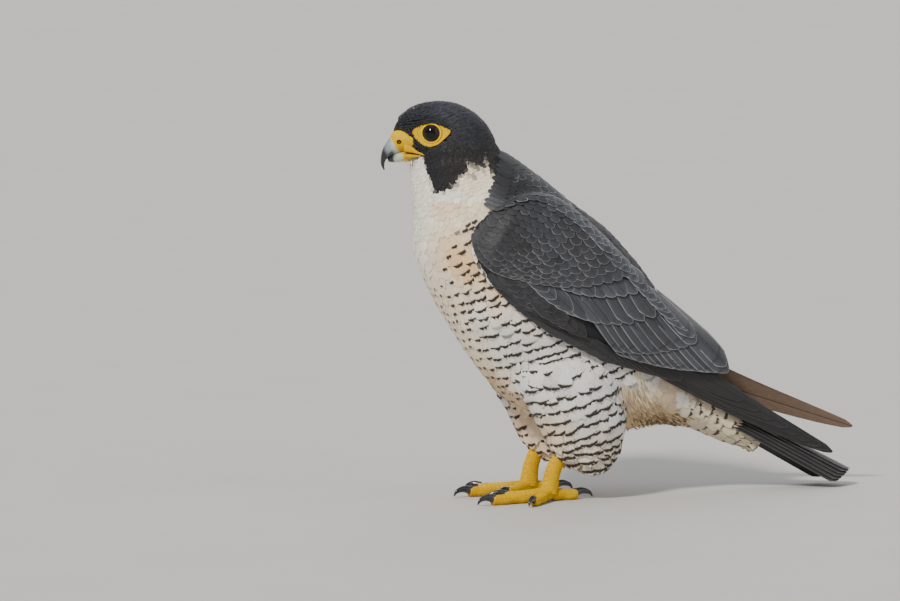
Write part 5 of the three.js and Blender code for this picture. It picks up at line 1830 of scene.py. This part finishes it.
def makeGape():
    for side, label in ((-1, "Left"), (1, "Right")):
        for name in ("Upper", "Lower"):
            x, z, thick = (np.array(gapePlan[name][key], float) for key in ("x", "z", "radius"))
            bill = 0.97 * tableValue([[-41, 8.9], [-36, 10.4], [-31, 11.8], [-20, 12.5]], x)
            flank = headSideWidth(np.maximum(x, -47), z) - 0.15
            y = np.where(x > -36, np.maximum(bill, flank), bill) - 0.25 * thick * (name == "Upper")
            nodes = fromHead(stacked(x, side * y, z))
            grid, t, angle = limbGrid(
                nodes, lambda t, a: stationValue(thick[:, None], t), 40, 24, gapePlan["flatten"]
            )
            piece = tubeMesh("gape" + label + name, grid)
            # painted shade: each lip darkens on the side that faces the other, along the mouth's seam
            facing = -1 if name == "Upper" else 1
            edge = ease(0.5, 0.95, facing * np.cos(angle))
            tone = tint(bareHue["yellow"], bareHue["deep"], 0.25 + 0 * t)
            paint(piece, tint(tone, (0.10, 0.045, 0.01), 0.9 * edge))
            finishPiece(piece, cereLook)
    print("mouth corners made")


# Eyes, lids and the bare skin round them
def eyeAxes(side):
    out = np.array([-np.sin(bird["eyeOut"]), side * np.cos(bird["eyeOut"]), 0.0])
    along = np.array([np.cos(bird["eyeOut"]), side * np.sin(bird["eyeOut"]), 0.0])
    place = np.array([bird["eyePlace"][0], side * bird["eyePlace"][1], bird["eyePlace"][2]])
    return place, out, along, np.array([0.0, 0.0, 1.0])


eyePlan = {"pupil": 0.50, "cornea": 0.35, "lidOut": 4.9, "lidRadius": 7.0, "lidThick": 0.85}


def makeEye(sideName):
    side = -1 if sideName == "left" else 1
    place, out, along, up = eyeAxes(side)
    # ball: angle from its own axis by turn round it, with a shallow bulge in front
    tilt, turn = gridOf(np.linspace(0.012, pi - 0.012, 60), turnsOf(72))
    r = bird["eyeRadius"] + eyePlan["cornea"] * np.exp(-((tilt / 0.5) ** 2))
    ball = (
        place + (r * np.cos(tilt))[..., None] * out + (r * np.sin(tilt) * np.cos(turn))[..., None] * along
        + (r * np.sin(tilt) * np.sin(turn))[..., None] * up
    )
    piece = tubeMesh("eye" + sideName.title(), fromHead(ball))
    iris = tint([0.016, 0.009, 0.006], (0.024, 0.011, 0.006), ease(0.5, 0.72, tilt))
    tone = tint(iris, (0.002, 0.002, 0.002), ease(eyePlan["pupil"], eyePlan["pupil"] - 0.06, tilt))
    tone = tint(tone, (0.004, 0.003, 0.003), ease(0.74, 0.8, tilt))
    paint(piece, tone)
    finishPiece(piece, eyeLook, ("eye_" + sideName,))

    # lid: a soft ring against the ball
    rings, sides = 96, 20
    steps = (turnsOf(count) for count in (rings, sides))
    turn, roll = gridOf(*steps)
    big = eyePlan["lidRadius"] + eyePlan["lidThick"] * np.cos(roll)
    crease = 0.06 * np.sin(turn * 23) + 0.05 * np.sin(turn * 37 + 1)
    far = eyePlan["lidOut"] + (eyePlan["lidThick"] * 1.05 + crease) * np.sin(roll)
    ring = place + far[..., None] * out
    ring = ring + (big * 1.04 * np.cos(turn))[..., None] * along
    ring = ring + (big * 0.97 * np.sin(turn))[..., None] * up
    i, j = gridOf(np.arange(rings), np.arange(sides))
    i, i2, j2 = i * sides, (i + 1) % rings * sides, (j + 1) % sides
    quads = stacked(i + j, i2 + j, i2 + j2, i + j2).reshape(-1, 4)
    lid = makeMesh("lid" + sideName.title(), fromHead(ring), [quads], flip=side > 0)
    # painted shade: the ring darkens where it meets the ball and in the groove at its outer edge
    tone = tint((0.86, 0.56, 0.0), (0.03, 0.018, 0.008), 0.95 * ease(-0.6, -0.85, np.cos(roll)))
    tone = tint(tone, (0.20, 0.09, 0.0), 0.8 * ease(0.8, 0.97, np.cos(roll)))
    setColour(lid, "tone", tone)
    finishPiece(lid, cereLook)

    # bare skin: from the lid out to the feathers, rising and falling in fine folds round the eye
    rays, rows = 120, 16
    turn, q = gridOf(turnsOf(rays), np.linspace(0, 1, rows))
    inner = (
        place + (eyePlan["lidOut"] - 0.5) * out + (7.6 * np.cos(turn))[..., None] * along
        + (7.0 * np.sin(turn))[..., None] * up
    )
    degrees = (np.degrees(turn) + 180) % 360 - 180
    reach = tableValue(eyeSkin["reach"], degrees) + 0.5
    edgeX = bird["eyePlace"][0] + reach * np.cos(turn)
    edgeZ = bird["eyePlace"][2] + reach * np.sin(turn)
    x = mix(inner[..., 0], edgeX, q)
    z = mix(inner[..., 2], edgeZ, q)
    surface = side * (headSideWidth(x, z) - 0.5)
    y = mix(inner[..., 1], surface, ease(0, 0.55, q))
    fold = 0.16 * np.sin(q * 19 + 0.6 * np.sin(turn * 5)) * np.sin(q * pi)
    outer = stacked(x, y + side * fold, z)
    under = outer - np.array([0, side * 1.0, 0])
    grid = np.stack([outer, under], 0)
    count, last = rays * rows, rows - 1
    i, j = gridOf(np.arange(rays), np.arange(last))
    i, i2 = i * rows, (i + 1) % rays * rows
    upper = stacked(i + j, i + j + 1, i2 + j + 1, i2 + j).reshape(-1, 4)
    k = np.arange(rays) * rows
    k2 = np.roll(k, -1)
    innerWall = stacked(k, k2, k2 + count, k + count)
    outerWall = stacked(k + last, k + last + count, k2 + last + count, k2 + last)
    faces = np.concatenate([upper, upper[:, ::-1] + count, innerWall, outerWall])
    patch = makeMesh("eyeSkin" + sideName.title(), fromHead(grid), [faces], flip=side < 0)
    # painted shade: the skin deepens to orange towards the feathers, and the crease mask darkens it next to
    # the lid and along a line on one side of the eye
    tone = tint(bareHue["yellow"], bareHue["deep"], 0.5 * ease(0.6, 1, q))
    crease = (
        ease(0.14, 0.04, q)
        + 0.55 * np.exp(-(((q - 0.42) / 0.06) ** 2)) * ease(0.2, 0.7, -np.cos(turn + 0.6))
    )
    tone = tint(tone, (0.16, 0.075, 0.0), 0.85 * np.clip(crease, 0, 1))
    setColour(patch, "tone", np.concatenate([tone.reshape(-1, 3)] * 2))
    finishPiece(patch, cereLook)


# Brow: short dark feathers in two rows over the upper rim of the bare skin, pointing back.
browPlan = {
    "x": (-14.5, -10, -5, 0, 5, 9, 12.5), "z": (2.6, 6.0, 8.0, 8.3, 7.4, 5.8, 4.0), "count": 46,
    "length": 4.6, "half": 0.95,
    "vane": {
        "rows": 5, "columns": 5, "width": [[0, 0.5], [0.5, 1], [1, 0.5]], "fray": 0.2, "tipRound": 0.4,
        "root": -0.9, "tip": 0.5, "thick": 0.12
    },
}


def makeBrow(sideName):
    side = -1 if sideName == "left" else 1
    plan = browPlan
    rng = np.random.default_rng(61)
    u = np.tile(np.linspace(0, 1, plan["count"]), 2)
    row = np.repeat([0.0, 1.0], plan["count"])
    line = stacked(np.array(plan["x"], float), np.array(plan["z"], float))
    at = lambda u: stationValue(line, np.clip(u, 0, 1)) + np.array(bird["eyePlace"])[[0, 2]]
    here, ahead = at(u), at(u + 0.02)
    run = unit(ahead - at(u - 0.02))
    here = here - run * 2.2
    here[:, 1] += 0.2 + 1.5 * row
    lidY = bird["eyePlace"][1] + eyePlan["lidOut"] + 0.9
    y = np.maximum(
        headSideWidth(here[:, 0], here[:, 1]) + 0.1,
        lidY * ease(11, 8, np.abs(here[:, 0] - bird["eyePlace"][0])) - 0.6 * row
    )
    p0 = stacked(here[:, 0], side * y, here[:, 1])
    lie = stacked(run[:, 0], np.zeros(len(u)), run[:, 1] - 0.10)
    length = plan["length"] * (1 + 0.12 * rng.normal(size=len(u)))
    p1 = p0 + unit(lie) * length[:, None]
    out = np.tile(np.array([0.0, side * 1.0, 0.25]), (len(u), 1))
    turned = lambda v: fromHead(v) - fromHead(np.zeros(3))
    normal = unit(turned(out))
    laid = {
        "p0": fromHead(p0), "pm": fromHead((p0 + p1) / 2), "p1": fromHead(p1), "n0": normal, "n1": normal,
        "sag": np.zeros(len(u)), "length": length, "half": np.full(len(u), plan["half"]),
    }
    tone = np.array([0.012, 0.012, 0.015]) * (1 + 0.2 * rng.normal(size=(len(u), 1)))
    bake = stacked(0.4 + 0.1 * u, 0.2 + 0.02 * row)
    piece = coatVanes(
        "brow" + sideName.title(), laid, plan["vane"], tone, plainMark(len(u), rng), bake, seed=62
    )
    finishPiece(piece, velvet)


# Bare skin and horn: a painted tone, a fine mottle and pores.
def paintedLook(name, look):
    material, tree, shader = newMaterial(name, look["shader"])
    mottle = noiseOf(tree, objectPlace(tree), look["scale"], 3.0, 0.6)
    tone = attributeOf(tree, "tone").outputs["Color"]
    shade = mixHue(tree, 1.0, tone, look["shade"], "MULTIPLY")
    tree.links.new(mixHue(tree, ramp(tree, mottle, 0.35, 0.75), tone, shade), shader.inputs["Base Color"])
    tree.links.new(
        ramp(tree, mottle, 0.3, 0.7, look["rough"][0], look["rough"][1]), shader.inputs["Roughness"]
    )
    fine = noiseOf(tree, objectPlace(tree), look["scale"] * 2.5, 2.0, 0.6)
    bumpInto(tree, shader, fine, look["bump"], look["depth"])
    return material


def objectPlace(tree):
    return tree.nodes.new("ShaderNodeTexCoord").outputs["Object"]


cereLook = paintedLook("cereAndLids", {
    "shader": {"Specular IOR Level": 0.1}, "scale": 420.0,
    "shade": (0.92, 0.80, 0.6), "rough": (0.4, 0.55), "bump": 0.35, "depth": 0.0003,
})
hornLook = paintedLook("billHorn", {
    "shader": {"Specular IOR Level": 0.5, "Coat Weight": 0.25, "Coat Roughness": 0.2}, "scale": 260.0,
    "shade": (0.8, 0.82, 0.8), "rough": (0.24, 0.4), "bump": 0.12, "depth": 0.0003,
})
eyeLook = paintedLook("eyeBall", {
    "shader": {"Specular IOR Level": 0.35}, "scale": 300.0,
    "shade": (0.7, 0.7, 0.7), "rough": (0.03, 0.05), "bump": 0.0, "depth": 0.0001,
})
makeBill()
makeGape()
makeEye("left")
makeEye("right")
makeBrow("left")
makeBrow("right")
print("eyes made")


# Legs and feet
legShape = {
    "ankle": (11, 27, 46),
    "footJoint": {"left": (-5.5, 27, 9.5), "right": (-1.5, 27, 9.5)},
    "footTurn": {"left": 14, "right": -9},
    "radius": [[0, 6.6], [0.35, 5.7], [0.7, 6.1], [1, 7.4]],
    # angle from the middle toe, length, radius at its root and end, its upper plates and its claw's length
    "toes": {
        "1": (178, 24, 4.6, 3.9, 7, 17), "2": (-31, 33, 4.6, 3.7, 9, 16), "3": (0, 51, 4.7, 3.5, 15, 15),
        "4": (38, 38, 4.3, 3.3, 12, 12.5),
    },
}


# Small plates in staggered rows: 1 on a plate, falling to 0 in the creases between, by distance along and
# round.
def plates(along, around, size):
    row = np.floor(along / size)
    u = np.abs(along / size - row - 0.5)
    v = np.abs((around / size / 1.15 + 0.5 * (row % 2)) % 1 - 0.5)
    return ease(0.5, 0.30, np.maximum(u, v))


def makeLeg(sideName):
    side = -1 if sideName == "left" else 1
    label = sideName.title()
    fx, fy, fz = legShape["footJoint"][sideName]
    ankle = np.array(legShape["ankle"], float) * (1, side, 1)
    nodes = [
        ankle, (4 + (fx + 5.5) * 0.4, side * 27, 34), (-2.5 + (fx + 5.5) * 0.8, side * 27, 21),
        (fx, side * fy, 6)
    ]

    def shankRadius(t, angle):
        base = tableValue(legShape["radius"], t)
        front = np.abs((angle + pi) % (2 * pi) - pi) < 0.95
        scale = plates(t * 46, angle * base, 2.1)
        shield = plates(t * 46, (angle + 0.35) * base, 3.4)
        return base - 0.32 + np.where(front, 0.42 * shield, 0.34 * scale)

    grid, t, angle = limbGrid(nodes, shankRadius, 130, 96, 0.8)
    crease = (shankRadius(t, angle) - tableValue(legShape["radius"], t) + 0.32) / 0.38
    piece = tubeMesh("shank" + label, grid)
    paint(piece, footTone(grid, crease))
    finishPiece(piece, footLook, ("leg_" + sideName,))

    turnOut = radians(legShape["footTurn"][sideName])
    for name, (angleOut, length, root, end, count, claw) in legShape["toes"].items():
        turn = turnOut + radians(angleOut)
        heading = np.array([-np.cos(turn), side * np.sin(turn), 0.0])
        start = np.array([fx, side * fy, 0.0])
        line = lambda far, z: start + heading * far + np.array([0, 0, z])
        nodes = [line(0, 6.4), line(length * 0.3, 5.1), line(length * 0.65, 4), line(length, 3.7)]
        pads = 3 if count > 11 else 2

        def toeRadius(t, angle):
            base = root + (end - root) * t
            upper = ease(0.15, 0.45, np.cos(angle))
            wave = (t * count) % 1
            plate = 0.5 * ease(0, 0.16, wave) * (1 - 0.55 * wave) * ease(0.05, 0.12, t)
            pad = 0.8 * np.sin(pi * t * pads) ** 2 * ease(0.1, -0.4, np.cos(angle))
            grain = 0.22 * plates(t * length, angle * base, 1.5)
            return base - 0.15 + upper * plate + (1 - upper) * grain + pad

        grid, t, angle = limbGrid(nodes, toeRadius, int(length * 2.4) + 14, 40, 0.94)
        grid[..., 2] = np.maximum(grid[..., 2], 0.06)
        upper = np.cos(angle) > 0.3
        wave = (t * count) % 1
        crease = np.where(upper, ease(0, 0.2, wave), plates(t * length, angle * (root + end) / 2, 1.5))
        piece = tubeMesh("toe" + label + name, grid)
        paint(piece, footTone(grid, crease))
        finishPiece(piece, footLook, ("toe_" + sideName + "_" + name,))

        # claw: a tapering hook, narrower than deep, with a keel under it
        nodes = [
            line(length - 1.5, 4.8), line(length + claw * 0.33, 6.1), line(length + claw * 0.7, 4.6),
            line(length + claw * 0.88, 1.2)
        ]
        clawRadius = lambda t, a: (3.3 * (1 - t) ** 0.75 + 0.22) * (1 - 0.12 * ease(-0.2, -0.9, np.cos(a)))
        grid, t, angle = limbGrid(nodes, clawRadius, 48, 28, 0.7)
        grid[..., 2] = np.maximum(grid[..., 2], 0.06)
        piece = tubeMesh("claw" + label + name, grid)
        tone = tint(bareHue["claw"], (0.05, 0.05, 0.055), 0.8 * ease(0.35, 0.0, t))
        paint(piece, tone)
        finishPiece(piece, clawLook, ("claw_" + sideName + "_" + name,))
    print("leg", sideName, "made")


def footTone(p, crease):
    tone = tint(bareHue["yellow"], bareHue["deep"], 0.3 * ease(-0.2, 0.8, wobble(p, 5)))
    # painted shade: deeper orange in the grooves between the plates
    tone = tint(tone, (0.52, 0.24, 0.012), 0.6 * (1 - np.clip(crease, 0, 1)))
    # painted shade: darker and browner within 3 mm of the floor
    return tint(tone, (0.40, 0.24, 0.06), 0.5 * ease(3.0, 0.3, p[..., 2]))


footLook = paintedLook("footScales", {
    "shader": {"Specular IOR Level": 0.1}, "scale": 380.0,
    "shade": (0.92, 0.80, 0.6), "rough": (0.45, 0.62), "bump": 0.3, "depth": 0.0003,
})
clawLook = paintedLook("clawHorn", {
    "shader": {"Specular IOR Level": 0.5, "Coat Weight": 0.5, "Coat Roughness": 0.12}, "scale": 300.0,
    "shade": (0.7, 0.7, 0.7), "rough": (0.2, 0.34), "bump": 0.12, "depth": 0.0003,
})
makeLeg("left")
makeLeg("right")


# Floor, lights and camera
setPlan = {
    "floorSize": 40.0, "floorColour": (0.60, 0.58, 0.55), "aim": (-60.7, 37.1, 146.7),
    "azimuth": radians(-20), "elevation": radians(5.5),
    "distance": 8.0, "width": 0.675, "sensor": 36, "sky": (0.80, 0.82, 0.85, 1), "skyStrength": 0.45,
    # each light: the direction towards it, its strength, spread and colour
    "suns": {
        "keyLight": ((-1.7, -1.5, 1.9), 3.3, radians(9), (1.0, 0.96, 0.90)),
        "fillLight": ((1.6, -1.7, 0.9), 0.45, radians(60), (0.90, 0.95, 1.0)),
        "topLight": ((0.2, 0.5, 2.2), 0.6, radians(60), (0.93, 0.96, 1.0)),
        "backLight": ((0.9, 1.8, 1.2), 0.5, radians(50), (0.95, 0.97, 1.0)),
    },
}


def makeFloor():
    half = setPlan["floorSize"] / 2
    mesh = bpy.data.meshes.new("floor")
    mesh.from_pydata(
        [(-half, -half, 0), (half, -half, 0), (half, half, 0), (-half, half, 0)], [], [(0, 1, 2, 3)]
    )
    floor = bpy.data.objects.new("floor", mesh)
    scene.collection.objects.link(floor)
    look, tree, shader = newMaterial("floorPaint", {"Roughness": 0.75, "Specular IOR Level": 0.2})
    grain = noiseOf(tree, objectPlace(tree), 9.0, 3.0)
    tree.links.new(
        mixHue(tree, grain, setPlan["floorColour"], tuple(0.93 * v for v in setPlan["floorColour"])),
        shader.inputs["Base Color"]
    )
    mesh.materials.append(look)


def makeSun(name, towards, strength, spread, colour):
    lamp = bpy.data.lights.new(name, "SUN")
    lamp.energy = strength
    lamp.angle = spread
    lamp.color = colour
    light = bpy.data.objects.new(name, lamp)
    light.rotation_euler = Vector(towards).to_track_quat("Z", "Y").to_euler()
    scene.collection.objects.link(light)


def makeSet():
    makeFloor()
    for name, sun in setPlan["suns"].items():
        makeSun(name, *sun)
    world = bpy.data.worlds.new("studio")
    scene.world = world
    world.use_nodes = True
    background = world.node_tree.nodes["Background"]
    background.inputs[0].default_value = setPlan["sky"]
    background.inputs[1].default_value = setPlan["skyStrength"]
    camera = bpy.data.cameras.new("camera")
    camera.sensor_width = setPlan["sensor"]
    camera.lens = setPlan["sensor"] * setPlan["distance"] / setPlan["width"]
    camera.clip_end = 50
    view = bpy.data.objects.new("camera", camera)
    scene.collection.objects.link(view)
    az, el = setPlan["azimuth"], setPlan["elevation"]
    back = Vector((np.sin(az) * np.cos(el), -np.cos(az) * np.cos(el), np.sin(el)))
    target = Vector((np.array(setPlan["aim"]) + shift) / 1000)
    view.location = target + back * setPlan["distance"]
    view.rotation_euler = back.to_track_quat("Z", "Y").to_euler()
    scene.camera = view


makeSet()
print("set ready")
